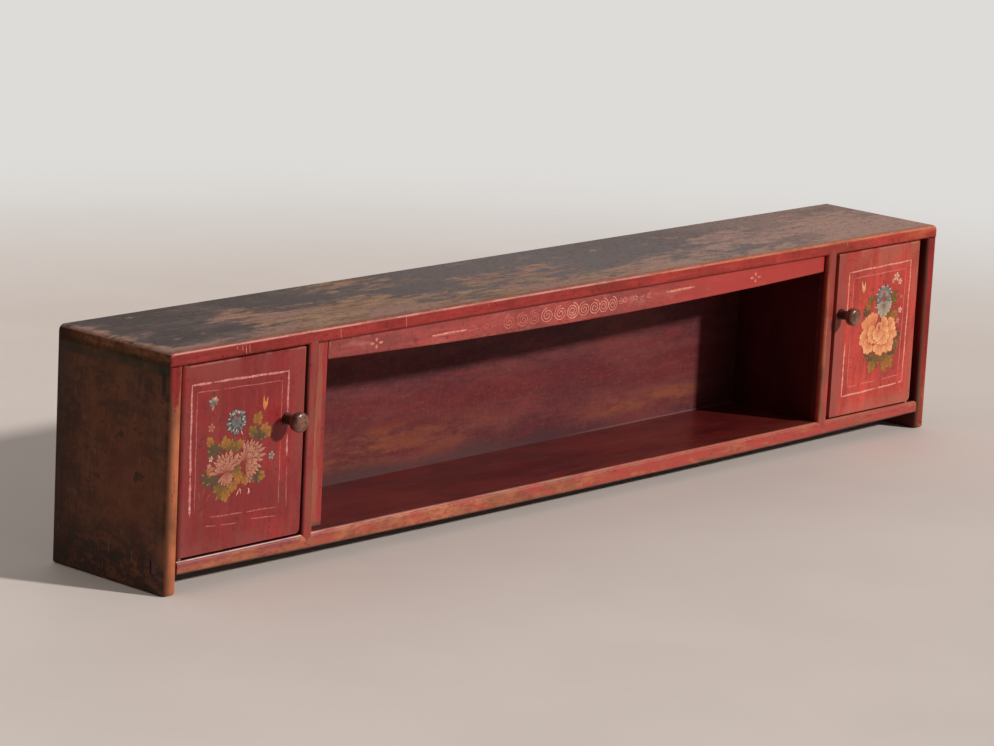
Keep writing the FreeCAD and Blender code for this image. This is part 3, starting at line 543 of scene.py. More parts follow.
def post_finish(side, shift, red, edge_mm, level, reach, shade):
    """Lacquer on a post: brown along its middle, rubbed to wood at one edge, with painted shade behind the
    left edge.
    """
    node = f"{side}_post"
    low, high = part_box(node)
    g = Graph(f"{node}_lacquer")
    tone = g.noise((60.0, 60.0, 12.0), shift + 3.0, 7.0, 0.7)
    rubbed = g.product(g.spot((low.x + edge_mm * MM, low.y, level), (0.006, 1.0, reach), 0.3), 0.8)
    middle = g.band(g.x, (low.x + high.x) / 2, 0.003, 0.005)
    turned, full, start = shade
    stains = (
        (srgb(122, 62, 44), middle, (tone, 0.4, 0.54), 0.75),
        # Painted shade on the post's left side, which faces away from the light.
        (srgb(56, 12, 14), (g.face_x, turned, full), (g.y, low.y + start, low.y + start + 0.003), 0.85),
    )
    return lacquered(g, node, "z", shift, (4.5, -0.52), rubbed, red, stains)


def jamb_finish():
    """Lacquer rubbed to orange-brown beside the post, with dirt in the corner at its foot."""
    low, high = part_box("jamb_strip")
    g = Graph("jamb_strip_lacquer")
    tone = g.noise((60.0, 60.0, 12.0), 5.0, 7.0, 0.7)
    head = g.product((g.z, high.z - 0.05, high.z - 0.005), 0.3)
    stains = (
        (srgb(146, 78, 54), g.band(g.x, low.x + 0.009, 0.005, 0.005), (tone, 0.38, 0.54), 0.8),
        (srgb(72, 60, 50), (g.z, low.z + 0.012, low.z + 0.002), 0.8),
    )
    return lacquered(g, "jamb_strip", "z", 13.0, (5.0, -0.56), head, RED, stains)


def apron_finish():
    """Dull lacquer with soft brown and dusty places."""
    g = Graph("apron_lacquer")
    soft = g.noise((16.0, 50.0, 50.0), 4.0, 7.0, 0.7)
    stains = (
        (RED_PALE, (soft, 0.52, 0.7), 0.22),
        (srgb(112, 52, 42), (soft, 0.46, 0.36), 0.5),
        (srgb(176, 50, 42), (g.x, 0.1, 0.34), 0.75),
    )
    return lacquered(g, "apron", "x", 9.0, (3.0, -0.7), 0.0, srgb(156, 60, 54), stains)


def back_board_finish(node, shift):
    """Dull red paint inside with brown streaks, a dirty foot and painted shade towards the right partition,
    bare wood behind.
    """
    g = Graph(f"{node}_paint")
    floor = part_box("floor_board")[1].z
    slow = g.noise((5.0, 5.0, 18.0), 2.0, 8.0, 0.7)
    streaks = g.noise((9.0, 9.0, 44.0), 8.0, 9.0, 0.76)
    fine = g.noise((70.0, 70.0, 210.0), 3.0, 6.0, 0.72)
    scumble = g.noise((160.0, 160.0, 60.0), 31.0, 5.0, 0.7)
    wave = g.noise(7.0, 12.0, 8.0, 0.7)
    left = g.product(g.band(g.z, 0.09, 0.01, 0.034), (g.x, 0.15, -0.3))
    right = g.product(g.band(g.z, 0.079, 0.006, 0.02), g.band(g.x, 0.35, 0.07, 0.13))
    edge = g.plus(g.z, wave, 0.07)
    grime = g.mix(g.step(g.x, 0.0, 0.16), srgb(78, 52, 50), srgb(70, 38, 42))
    colour = g.stained(
        srgb(82, 34, 38),
        (srgb(108, 50, 48), (slow, 0.4, 0.6)),
        (srgb(118, 38, 34), (streaks, 0.5, 0.66), 0.55),
        (srgb(104, 24, 26), g.band(g.z, 0.135, 0.012, 0.04), (streaks, 0.58, 0.44), 0.6),
        (srgb(132, 68, 42), g.sum("MAXIMUM", left, right), (streaks, 0.6, 0.44), 0.85),
        (srgb(122, 68, 56), (fine, 0.53, 0.66), 0.4),
        (srgb(66, 24, 26), (fine, 0.47, 0.36), 0.35),
        (srgb(122, 72, 64), (scumble, 0.5, 0.72), 0.22),
        (grime, (edge, floor + 0.066, floor + 0.034), (g.x, 0.36, 0.22), 0.8),
        # Painted shade on the right part of the board, beside the right partition.
        (srgb(36, 10, 12), (g.x, 0.46, 0.56), 0.6),
        (srgb(124, 92, 82), (g.z, floor + 3 * MM, floor + 0.8 * MM), (g.x, 0.1, 0.3), 0.6),
        (g.dimmed(bare_wood_colour(g, "x", shift), 0.6), (g.face_y, -0.3, 0.3)),
    )
    height = g.plus(wood_height(g, "x", shift), streaks, 0.6)
    return g.surface(colour, gloss(g, "x", shift, 0.5, 0.66), height, 0.4, 0.2)


def floor_finish():
    """Deep red glossy lacquer above, bare dark wood below."""
    g = Graph("floor_board_lacquer")
    slow = g.noise((5.0, 14.0, 14.0), 3.0, 6.0, 0.65)
    scuffs = g.noise((14.0, 60.0, 60.0), 8.0, 7.0, 0.7)
    lacquer = g.mix(g.step(slow, 0.4, 0.6), srgb(86, 26, 24), srgb(106, 34, 31))
    lacquer = g.stained(lacquer, (srgb(122, 50, 40), (scuffs, 0.54, 0.66), 0.5))
    colour = g.stained(
        g.dimmed(bare_wood_colour(g, "x", 4.0), REAR_SHADE),
        (lacquer, (g.face_z, 0.0, 0.6)),
    )
    return g.surface(colour, gloss(g, "x", 3.0, 0.28, 0.44), wood_height(g, "x", 3.0), 0.3, 0.22, 0.08)


def partition_finish(node, shift):
    """Old dark red lacquer on the inner walls."""
    g = Graph(f"{node}_lacquer")
    slow = g.noise((12.0, 12.0, 6.0), shift, 5.0, 0.6)
    streaks = g.noise(per_metre(GRAIN_STREAKS, "z"), shift + 4.0, 6.0, 0.65)
    colour = g.mix(g.step(slow, 0.3, 0.7), srgb(60, 12, 16), srgb(80, 20, 22))
    colour = g.stained(colour, (srgb(96, 34, 28), (streaks, 0.58, 0.75), 0.6))
    return g.surface(colour, gloss(g, "z", shift, 0.44, 0.6), wood_height(g, "z", shift), 0.3, 0.18)


def knob_finish(node, shift):
    """Turned hardwood under old varnish, with fine turning rings and painted shade on the neck near the door.
    """
    g = Graph(f"{node}_varnish")
    grain = g.noise((60.0, 400.0, 60.0), shift, 6.0, 0.6, 0.6)
    dirt = g.noise(90.0, shift + 4.0, 4.0)
    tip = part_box(node)[0].y
    colour = g.stained(
        srgb(76, 40, 28),
        (srgb(126, 76, 54), (grain, 0.4, 0.6)),
        (srgb(56, 30, 22), (dirt, 0.56, 0.7), 0.7),
        # Painted shade on the neck, near the door.
        (srgb(48, 22, 18), (g.y, tip + 0.016, tip + 0.022), 0.85),
    )
    rings = g.noise((12.0, 1400.0, 12.0), shift, 2.0)
    height = g.plus(rings, grain, 0.4)
    return g.surface(colour, g.between(g.step(dirt, 0.3, 0.7), 0.26, 0.4), height, 0.12, 0.4, 0.4)


def iron_finish():
    g = Graph("old_iron")
    rust = g.noise(700.0, 1.0, 4.0)
    colour = g.mix(g.step(rust, 0.45, 0.65), srgb(46, 40, 38), srgb(96, 56, 38))
    g.shader.inputs["Metallic"].default_value = 0.5
    return g.surface(colour, g.between(rust, 0.5, 0.8), rust, 0.1, 0.5)


def peg_finish():
    g = Graph("peg_bamboo")
    fibre = g.noise(900.0, 1.0, 3.0)
    colour = g.mix(g.step(fibre, 0.35, 0.65), srgb(120, 70, 50), srgb(168, 120, 82))
    return g.surface(colour, g.between(fibre, 0.5, 0.7), fibre, 0.1)


def paint_finish(name, ground, flaked):
    """Thin brushed paint in each stroke's own colour; the ground shows where it flaked."""
    g = Graph(name)
    stroke = g.node("VertexColor", layer_name="paint")
    hair = g.noise(420.0, 3.0, 4.0, 0.65)
    flakes = g.noise(210.0, 7.0, 6.0, 0.75)
    colour = g.stained(
        stroke.outputs[0],
        (grown(ground, 0.8), (hair, 0.38, 0.66), 0.4),
        (ground, (flakes, flaked, flaked + 0.08), 0.85),
    )
    return g.surface(colour, g.between(hair, 0.42, 0.6), hair, 0.1)


def dress_frame():
    """Give every CAD node its own finish."""
    finishes = {
        "top_board": top_lacquer(),
        "left_end_panel": end_panel_finish("left_end_panel", -1),
        "right_end_panel": end_panel_finish("right_end_panel", 1),
        "front_rail": rail_finish(),
        "floor_board": floor_finish(),
        "lower_back_board": back_board_finish("lower_back_board", 1.0),
        "upper_back_board": back_board_finish("upper_back_board", 5.0),
        "back_nails": iron_finish(),
        "apron": apron_finish(),
        "apron_pegs": peg_finish(),
        "jamb_strip": jamb_finish(),
        "left_post": post_finish("left", 2.0, RED, 18.0, 0.14, 0.16, (-0.2, -0.6, 0.0)),
        "right_post": post_finish("right", 8.0, srgb(170, 54, 46), 3.0, 0.17, 0.24, (-0.7, -0.95, 0.007)),
        "left_door": door_finish("left", 3.0, LEFT_DOOR_RED, srgb(128, 56, 48)),
        "right_door": door_finish("right", 9.0, RIGHT_DOOR_RED_LIT, srgb(164, 88, 70)),
    }
    for number, side in enumerate(("left", "right")):
        shift = number * 6.0
        finishes[f"{side}_partition"] = partition_finish(f"{side}_partition", shift)
        finishes[f"{side}_knob"] = knob_finish(f"{side}_knob", shift)
        finishes[f"{side}_door_stop"] = bare_wood(f"{side}_door_stop", "x", shift)
        finishes[f"{side}_door_pivot_pins"] = bare_wood(f"{side}_door_pivot_pins", "z", shift)
        finishes[f"{side}_door_pivot_nails"] = finishes["back_nails"]
        finishes[f"{side}_latch"] = bare_wood(f"{side}_latch", "z", shift, 0.8)
        finishes[f"{side}_latch_peg"] = finishes["apron_pegs"]
        for level in ("lower", "upper"):
            batten = f"{side}_door_{level}_batten"
            finishes[batten] = bare_wood(batten, "x", shift)
    for name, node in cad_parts.items():
        node.data.materials.clear()
        node.data.materials.append(finishes[name])


# The ornament. Every stroke, petal and leaf is a ribbon: a path with a width and a colour
# at each station, laid on a flat face. Its sizes are millimetres across and up that face,
# from the middle of the face.
LIFT_MM = 0.06
LAYER_MM = 0.035
CROWN_MM = 0.06
SHADOW_LENGTH_MM = 1.3
SHADOW_WIDTH_MM = 1.8
STATION_MM = 3
STEM_MM = 1.2
PETAL_STEPS = 7
COIL_STEPS = 26
FAN_WIDEST = 0.68

LINE_PALE = srgb(222, 160, 138)
LINE_FAINT = srgb(198, 118, 102)
LINE_PINK = srgb(212, 146, 134)
LINE_DULL = srgb(184, 102, 92)
CREAM = srgb(226, 190, 162)
PINK_ROOT = srgb(128, 58, 42)
PINK = srgb(182, 114, 92)
PINK_TIP = srgb(190, 134, 104)
PEACH_ROOT = srgb(190, 92, 50)
PEACH = srgb(224, 140, 84)
PEACH_TIP = srgb(246, 188, 130)
PINK_SHADE = srgb(98, 36, 32)
TEAL_DARK = srgb(38, 40, 44)
TEAL_ROOT = srgb(56, 72, 72)
TEAL = srgb(104, 126, 118)
TEAL_GREY = srgb(172, 164, 134)
TEAL_TIP = srgb(158, 156, 140)
GREEN_DARK = srgb(52, 58, 40)
GREEN = srgb(82, 76, 26)
OLIVE = srgb(128, 96, 28)
OCHRE = srgb(182, 106, 38)
STEM = srgb(112, 66, 34)
BLOOM_HEART = srgb(150, 22, 28)
CHIP = srgb(214, 128, 86)
CRACK = srgb(44, 16, 14)
GREENS = (GREEN_DARK, GREEN)
OLIVES = (GREEN, OLIVE)
OCHRES = (OLIVE, OCHRE)


class Face:
    """A painting on one node's front face, which moves with that node's body."""

    def __init__(self, node, body, seed, across_middle=None):
        low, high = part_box(node)
        self.name = f"{node}_painting"
        self.body = body
        self.front = low.y
        middle = (low.x + high.x) / 2 if across_middle is None else across_middle
        self.middle = Vector((middle, 0, (low.z + high.z) / 2))
        self.mesh = bmesh.new()
        self.shade = self.mesh.verts.layers.float_color.new("paint")
        self.chance = random.Random(seed)

    def vertex(self, across, up, lift, colour):
        spot = self.middle + Vector((across, 0, up)) * MM
        spot.y = self.front - lift * MM
        vertex = self.mesh.verts.new(spot)
        vertex[self.shade] = colour
        return vertex

    def ribbon(self, path, widths, colours, layer=0, crown=CROWN_MM):
        """A strip along the path whose middle stands a little proud of its sides."""
        lift = LIFT_MM + layer * LAYER_MM
        last = len(path) - 1
        rows = []
        for index, (spot, width, colour) in enumerate(zip(path, widths, colours)):
            along = Vector(path[min(index + 1, last)]) - Vector(path[max(index - 1, 0)])
            aside = Vector((-along.y, along.x)).normalized() * width / 2
            rows.append([
                self.vertex(spot[0] + aside.x, spot[1] + aside.y, lift, colour),
                self.vertex(spot[0], spot[1], lift + min(crown, width / 4), colour),
                self.vertex(spot[0] - aside.x, spot[1] - aside.y, lift, colour),
            ])
        for one, two in zip(rows, rows[1:]):
            self.mesh.faces.new((one[0], one[1], two[1], two[0]))
            self.mesh.faces.new((one[1], one[2], two[2], two[1]))

    def line(self, start, end, width, colour, ground, layer=0, wobble=0.3):
        """A hand-drawn line, uneven in place and width, and thin where the ground shows."""
        start, end = Vector(start), Vector(end)
        count = max(3, int((end - start).length / STATION_MM))
        aside = Vector((start.y - end.y, end.x - start.x)).normalized()
        path, widths, colours = [], [], []
        for index in range(count + 1):
            share = index / count
            phase = start.x + start.y + share * (end - start).length / 9
            path.append(start.lerp(end, share) + aside * wobble * math.sin(phase))
            taper = min(1.0, 4 * min(share, 1 - share) + 0.4)
            widths.append(width * taper * self.chance.uniform(0.55, 1.15))
            colours.append(blended(colour, ground, self.chance.uniform(0.0, 0.5)))
        self.ribbon(path, widths, colours, layer)

    def petal(self, root, angle, length, width, colours, layer=0, bend=0.0, widest=0.62, blunt=True,
              crown=CROWN_MM):
        """A petal or leaf from its root, turning by the bend in degrees on its way."""
        dark, light = colours
        path, widths, shades = [], [], []
        spot = Vector(root)
        for index in range(PETAL_STEPS + 1):
            share = index / PETAL_STEPS
            if index:
                spot = spot + heading(angle + bend * (share - 0.3)) * length / PETAL_STEPS
            path.append(spot.copy())
            if share < widest:
                spread = 0.14 + 0.86 * math.sin(math.pi / 2 * share / widest)
            elif blunt:
                spread = math.sqrt(max(0.02, 1 - ((share - widest) / (1 - widest)) ** 2))
            else:
                spread = max(0.04, 1 - ((share - widest) / (1 - widest)) ** 1.4)
            widths.append(width * spread)
            shades.append(blended(dark, light, share ** 0.8))
        self.ribbon(path, widths, shades, layer, crown)

    def fan(self, root, start, stop, count, reaches, width, colours, layer, bend=14.0, shadow=None):
        """Petals side by side from one root; the reaches are at the start, middle and stop."""
        first, middle, last = reaches
        dark, light = colours
        for index in range(count):
            share = index / max(1, count - 1)
            angle = start + (stop - start) * share + self.chance.uniform(-3, 3)
            if share < 0.5:
                reach = first + (middle - first) * share * 2
            else:
                reach = middle + (last - middle) * (share * 2 - 1)
            reach *= self.chance.uniform(0.9, 1.06)
            turn = self.chance.uniform(-bend, bend)
            tint = blended(dark, light, self.chance.uniform(0.7, 1.0))
            if shadow:
                self.petal(root, angle, reach + SHADOW_LENGTH_MM, width + SHADOW_WIDTH_MM, (shadow, shadow),
                           layer - 0.5, turn, FAN_WIDEST, True, 0)
            self.petal(root, angle, reach, width, (dark, tint), layer, turn, FAN_WIDEST)

    def finish(self, material):
        data = bpy.data.meshes.new(self.name)
        self.mesh.normal_update()
        for face in self.mesh.faces:
            if face.normal.y > 0:
                face.normal_flip()
            face.smooth = True
        self.mesh.to_mesh(data)
        self.mesh.free()
        data.materials.append(material)
        painting = bpy.data.objects.new(self.name, data)
        bpy.context.scene.collection.objects.link(painting)
        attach(painting, self.body)


def leaf(face, middle, angle, size, colours):
    """A ragged lobed leaf, dark beneath, with lighter tips and a vein."""
    dark, light = colours
    root = Vector(middle) - heading(angle) * size / 2
    for turn, share in ((-100, 0.44), (96, 0.48), (-64, 0.68), (66, 0.64), (-32, 0.86), (34, 0.82), (0, 1.0)):
        tip = blended(dark, light, face.chance.uniform(0.0, 0.9))
        reach = size * share * face.chance.uniform(0.84, 1.08)
        width = size * 0.4 * share + 1.5
        rim = (GREEN_DARK, blended(GREEN_DARK, dark, 0.4))
        lean = turn + face.chance.uniform(-10, 10)
        face.petal(root, angle + lean, reach + 1.0, width + 1.6, rim, 0.5, turn * 0.3)
        face.petal(root, angle + lean, reach, width, (dark, tip), 1, turn * 0.3)
    for turn, share in ((-40, 0.72), (6, 0.95), (44, 0.72)):
        spot = root + heading(angle + turn) * size * share * 0.66
        face.petal(spot, angle + turn, size * share * 0.36, 2.6, (light, OCHRE), 2)
    for turn in (-30, 0, 30):
        face.petal(root, angle + turn, size * 0.7, 0.9, (GREEN_DARK, light), 2.5, turn * 0.3, 0.4, False)


def leaves(face, places):
    for across, up, angle, size, colours in places:
        leaf(face, (across, up), angle, size, colours)


def blossoms(face, places):
    """Five round petals at each place."""
    for across, up, radius, dark, light in places:
        for index in range(5):
            face.petal((across, up), 72 * index + 12, radius, radius * 0.6, (dark, light), 2, 0, 0.65)


def stems(face, runs):
    for across, up, to_across, to_up in runs:
        run = Vector((to_across - across, to_up - up))
        angle = math.degrees(math.atan2(run.x, run.y))
        face.petal((across, up), angle, run.length, STEM_MM, (STEM, OLIVE), 0, 10, 0.3, False)


def frame_lines(face, lines, width, colour, ground):
    for across, up, to_across, to_up in lines:
        face.line((across, up), (to_across, to_up), width, colour, ground)


def aster(face, centre, radius):
    """A round dark teal flower with pale dashes, most at its upper right, and a red heart."""
    rings = ((15, 1.0, TEAL_ROOT, TEAL), (12, 0.76, TEAL_DARK, TEAL_ROOT), (8, 0.5, TEAL_ROOT, TEAL))
    for number, (count, share, dark, light) in enumerate(rings):
        start = number * 9
        reaches = (radius * share * 0.9, radius * share * 1.1, radius * share)
        face.fan(centre, start, start + 360 - 360 / count, count, reaches, radius * 0.36, (dark, light),
                 3 + number, 14, TEAL_DARK)
    for index in range(17):
        angle = index * 15 - 50 if index < 12 else index * 26 - 130
        angle += face.chance.uniform(-6, 6)
        spot = Vector(centre) + heading(angle) * radius * face.chance.uniform(0.5, 0.86)
        face.petal(spot, angle, 4.6, 1.7, (TEAL_TIP, CREAM), 7)
    heart = Vector(centre) + Vector((2, 5))
    face.fan(heart, -60, 60, 4, (4, 5, 4), 1.8, (BLOOM_HEART, BLOOM_HEART), 8)


def ruffle(face, heart, centre, radius, colours, layer):
    """One broad scalloped petal of a peony on its own shadow, opening away from the heart."""
    out = (Vector(centre) - Vector(heart)).normalized()
    angle = math.degrees(math.atan2(out.x, out.y))
    root = Vector(centre) - out * radius
    dark, light = colours
    gap = blended(dark, BLOOM_HEART, 0.25)
    reaches = (radius * 1.4, radius * 1.8, radius * 1.4)
    face.fan(root, angle - 50, angle + 50, 5, reaches, radius * 0.92, (dark, light), layer, 8, gap)
    inner = (radius * 0.9, radius * 1.25, radius * 0.9)
    middle = (dark, blended(dark, light, 0.55))
    face.fan(root, angle - 40, angle + 40, 4, inner, radius * 0.5, middle, layer + 0.5, 8)
    fold = (dark, blended(dark, light, 0.3))
    for turn in (-30, -8, 14, 34):
        reach = radius * face.chance.uniform(1.0, 1.5)
        face.petal(root, angle + turn, reach, 1.2, fold, layer + 1, turn * 0.4, 0.4, False)


LEFT_DOOR_LEAVES = (
    (29, 46, 20, 17, OCHRES), (17, 28, -40, 15, OLIVES), (31, 24, 10, 14, GREENS),
    (43, 30, 20, 14, OCHRES), (50, 22, 80, 14, OCHRES), (39, 18, 120, 14, GREENS),
    (-63, 24, -30, 12, OCHRES), (-55, 13, -20, 24, GREENS), (-33, 20, -10, 16, OCHRES),
    (-23, 14, 15, 17, OLIVES), (-11, 12, 30, 15, OLIVES), (-2, 13, 60, 12, OCHRES),
    (-69, -27, -60, 18, GREENS), (-56, -35, -120, 22, GREENS), (-62, -20, -40, 11, OCHRES),
    (-42, -53, 200, 22, OLIVES), (-29, -60, 165, 17, OCHRES), (-9, -26, 150, 18, OLIVES),
    (-6, -37, 170, 16, OCHRES), (-16, -49, 190, 15, OCHRES), (30, -40, 140, 21, GREENS),
    (40, -39, 100, 12, OCHRES), (7, -43, 160, 12, OCHRES),
)
RIGHT_DOOR_LEAVES = (
    (-19, 51, -50, 15, OLIVES), (-31, 29, -70, 17, GREENS), (-24, 38, -30, 10, OCHRES),
    (43, 49, 60, 20, OLIVES), (33, 20, 80, 17, OLIVES), (49, 18, 100, 14, OCHRES),
    (-19, -41, 200, 20, GREENS), (-24, -30, 230, 14, OLIVES), (0, -58, 185, 26, OLIVES),
    (-8, -65, 200, 18, OCHRES), (-13, -52, 220, 14, GREENS), (28, -52, 170, 18, OLIVES),
    (30, -68, 175, 18, OCHRES), (42, -62, 150, 20, OCHRES), (48, -45, 130, 19, GREENS),
    (57, -18, 100, 18, GREENS), (56, -34, 120, 14, OLIVES),
)
# The peony's petals: place, size and how light each one is.
PEONY_PETALS = (
    (-26, 8, 17, 0.45), (-33, -16, 13, 0.75), (-14, 15, 14, 0.35), (-22, -30, 13, 0.7),
    (14, -36, 15, 0.85), (36, -32, 15, 0.75), (45, -12, 14, 0.85), (40, 2, 12, 0.8),
    (-12, -12, 16, 0.65), (22, -18, 17, 0.9), (24, 6, 12, 0.75), (4, -14, 13, 0.95),
)
# The chrysanthemums' petals: angles, count, reaches, width and layer.
LEFT_BLOOM = (
    (-86, 66, 12, (33, 29, 33), 5.2, 3), (124, 226, 7, (17, 23, 21), 4.6, 4),
    (-76, -2, 6, (26, 24, 22), 6.0, 5), (10, 78, 5, (24, 22, 17), 4.0, 6), (-50, 40, 5, (13, 14, 12), 3.4, 7),
)
RIGHT_BLOOM = (
    (-8, 168, 14, (26, 38, 27), 5.4, 4), (-84, -20, 4, (18, 17, 16), 3.8, 4),
    (14, 150, 9, (22, 28, 20), 5.4, 6), (34, 120, 5, (13, 16, 12), 3.8, 8),
)


def chrysanthemum(face, root, rows):
    for start, stop, count, reaches, width, layer in rows:
        face.fan(root, start, stop, count, reaches, width, (PINK_ROOT, PINK_TIP), layer, 10, PINK_SHADE)


def bud(face, root, lean, light):
    for turn, length in ((-16, 22), (14, 20), (-2, 14)):
        face.petal(root, turn + lean, length, 4.6, (OCHRE, light), 2, -turn, 0.4, False)


def butterfly(face, centre):
    """Six pale petal-shaped wings about a teal middle."""
    wings = ((24, 9, CREAM), (62, 9, PINK_TIP), (-70, 10, TEAL_TIP), (-120, 8, TEAL), (190, 11, PINK_TIP),
             (-20, 8, TEAL_TIP), (110, 7, TEAL))
    for angle, length, light in wings:
        face.petal(centre, angle, length, 4.2, (TEAL_ROOT, light), 2, 14, 0.66)


def paint_left_door(material):
    face = Face("left_door", "left_door", 3)
    ground = LEFT_DOOR_RED
    frame_lines(face, (
        (-98.5, 106, -62, 106), (-58, 106, 84, 103), (-98.5, 107, -98, 30),
        (84, 104.5, 84.5, 40), (85.5, 12, 86, -18),
    ), 3.4, LINE_PINK, ground)
    frame_lines(face, ((-98, 32, -97, -20), (-97, -22, -95.4, -78)), 4.4, LINE_PINK, ground)
    frame_lines(face, (
        (-88.5, 95, -46, 94), (-40, 94, 72, 91), (-88.5, 95, -87, -74), (72, 91, 72.5, 34),
        (72.5, 6, 73, -84), (-58, -84, 4, -87), (10, -87, 70, -89), (86.5, -34, 88, -92),
        (20, -98, 71, -102), (-66, -96, -46, -98), (-37, -98, -6, -100),
    ), 1.7, LINE_DULL, ground)
    stems(face, (
        (-29, -24, -14, 30), (7, -12, -2, 26), (8, -8, 29, 52), (24, 26, 40, 56),
        (-30, -28, -52, 10), (-20, -50, 8, -10), (-30, -46, -60, -32), (10, -34, 30, -40),
    ))
    leaves(face, LEFT_DOOR_LEAVES)
    aster(face, (-13, 45), 18)
    face.line((-4, 31), (-1, 24), 1.4, CREAM, PINK, 4)
    chrysanthemum(face, (-29, -24), LEFT_BLOOM)
    chrysanthemum(face, (7, -12), RIGHT_BLOOM)
    bud(face, (40, 53), 6, PEACH)
    blossoms(face, (
        (-60, 42, 6.5, PINK_ROOT, PINK), (56, -13, 6, TEAL_ROOT, TEAL_TIP), (-59, -2, 4.5, PINK, CREAM),
        (-62, -12, 4.5, PINK, PINK_TIP), (15, -41, 6, PINK_ROOT, PINK_TIP),
    ))
    for spot, angle in (((-3, -51), 160), ((-5, -53), 200), ((13, -53), 150), ((15, -54), 185)):
        face.petal(spot, angle, 9, 2.0, (CREAM, PINK_TIP), 3, 26, 0.5)
    butterfly(face, (-57, 77))
    faded = (blended(GREEN, ground, 0.5), blended(OLIVE, ground, 0.6))
    for across, up, angle, length in (
            (-72, -52, 10, 12), (-76, -60, -20, 16), (-66, -62, 30, 14), (-72, -70, 190, 12)):
        face.petal((across, up), angle, length, 2.6, faded, 0, 20)
    face.line((-59, -133.5), (-58.4, -122), 1.0, CRACK, ground)
    face.finish(material)


def blue_bloom(face, centre):
    """A teal flower: an upper half bloom with a pale rim over a hanging cup of broad grey petals."""
    low, high = Vector(centre), Vector(centre) + Vector((-2, 10))
    face.fan(low, 92, 268, 8, (20, 26, 20), 11, (TEAL, TEAL_GREY), 2, 6, TEAL_DARK)
    face.fan(low - Vector((0, 3)), 110, 250, 5, (13, 16, 13), 8, (TEAL_ROOT, TEAL_GREY), 3, 6, TEAL_DARK)
    face.fan(high, -112, 112, 13, (20, 19, 20), 7.5, (TEAL_ROOT, TEAL), 4, 10, TEAL_DARK)
    face.fan(high, -80, 80, 8, (12, 12, 13), 5.5, (TEAL_ROOT, TEAL_TIP), 5, 10, TEAL_DARK)
    face.fan(high + Vector((0, 3)), -50, 50, 4, (7, 8, 7), 2.4, (BLOOM_HEART, PINK), 6)
    for index in range(9):
        angle = index * 25 - 100 + face.chance.uniform(-6, 6)
        spot = high + heading(angle) * face.chance.uniform(12, 17)
        face.petal(spot, angle, face.chance.uniform(3.5, 6.0), 2.6, (TEAL_TIP, CREAM), 6)
    for index in range(6):
        angle = 105 + index * 30
        spot = low + heading(angle) * face.chance.uniform(16, 20)
        face.petal(spot, angle, 4.4, 2.4, (TEAL_GREY, CREAM), 4)


def paint_right_door(material):
    face = Face("right_door", "right_door", 8)
    ground = RIGHT_DOOR_RED_LIT
    frame_lines(face, (
        (-79, 101, 82.5, 104), (82.5, 104, 79, -98), (-79, 101, -79.5, 34), (-79.5, -14, -80, -103),
        (-80, -103, 12, -101), (14, -101, 64, -99), (69, -99, 79, -98),
    ), 3.2, LINE_PALE, ground)
    frame_lines(face, (
        (-67, 90, 70, 92), (70, 92, 67, -86), (-67, 90, -67, 38), (-67, -10, -67, -89),
        (-67, -89, -42, -89), (-32, -88, 6, -88), (22, -87, 67, -86),
    ), 2.0, LINE_FAINT, ground)
    stems(face, (
        (4, -44, -8, 36), (0, 20, -36, 62), (24, -20, 54, 20), (-30, 42, -42, 60),
        (20, -40, 40, -66), (0, -40, -6, -62),
    ))
    leaves(face, RIGHT_DOOR_LEAVES)
    blue_bloom(face, (17, 41))
    heart = (7, 2)
    for number, (across, up, radius, light) in enumerate(PEONY_PETALS):
        colours = (PEACH_ROOT, blended(PEACH, PEACH_TIP, light))
        ruffle(face, heart, (across, up), radius, colours, 5 + number)
    face.fan(heart, -120, 120, 11, (8, 9, 8), 3.2, (BLOOM_HEART, PEACH_TIP), 18)
    bud(face, (-39, 62), -2, PEACH_TIP)
    for spot, angle, length in (((-42, 60), 200, 14), ((-38, 56), 160, 18), ((-32, 50), 170, 12)):
        face.petal(spot, angle, length, 1.8, (OCHRE, OLIVE), 1, 16)
    blossoms(face, (
        (46, 81, 7.5, PINK, CREAM), (38, 75, 5, PINK, PINK_TIP), (56, 72, 5.5, PINK, CREAM),
        (61, 24, 5.5, PINK, CREAM), (56, 7, 5.5, PINK, PINK_TIP), (62, 46, 3.5, PINK, PINK),
    ))
    for spot, angle in (((50, 34), 20), ((54, 26), 200), ((58, -6), 30), ((60, -28), 170), ((56, 60), 10)):
        face.petal(spot, angle, 9, 1.8, (BLOOM_HEART, PINK), 2, 24)
    face.finish(material)


def spiral(face, centre, across, up, turns, width, colour, clockwise=True):
    """A flat coil, wide outside and narrow inside."""
    count = int(COIL_STEPS * turns)
    path, widths, colours = [], [], []
    for index in range(count + 1):
        share = index / count
        way = heading(share * turns * 360 * (1 if clockwise else -1))
        reach = 1 - 0.86 * share
        path.append((centre[0] + across * reach * way.x, centre[1] + up * reach * way.y))
        widths.append(width * face.chance.uniform(0.7, 1.15))
        colours.append(blended(colour, RED, face.chance.uniform(0.0, 0.4)))
    face.ribbon(path, widths, colours, 0, 0.05)


def cross(face, centre, colours):
    """Four petals as a cross, the upright ones shorter."""
    for turn, gap, length, width in ((90, 4, 9, 4.0), (270, 4, 9, 4.0), (0, 2, 6, 5.0), (180, 2, 6, 5.0)):
        face.petal(Vector(centre) + heading(turn) * gap, turn, length, width, colours, 0, 0, 0.5)


# The coils beside the central one: place and size across.
APRON_COILS = (
    (-5.8, 12.5), (16.8, 12.0), (37.1, 11.0), (57.6, 10.5), (-59, 13.5), (-88, 13.5), (-116.5, 11.5),
    (-141, 12.0), (-171, 11.0),
)


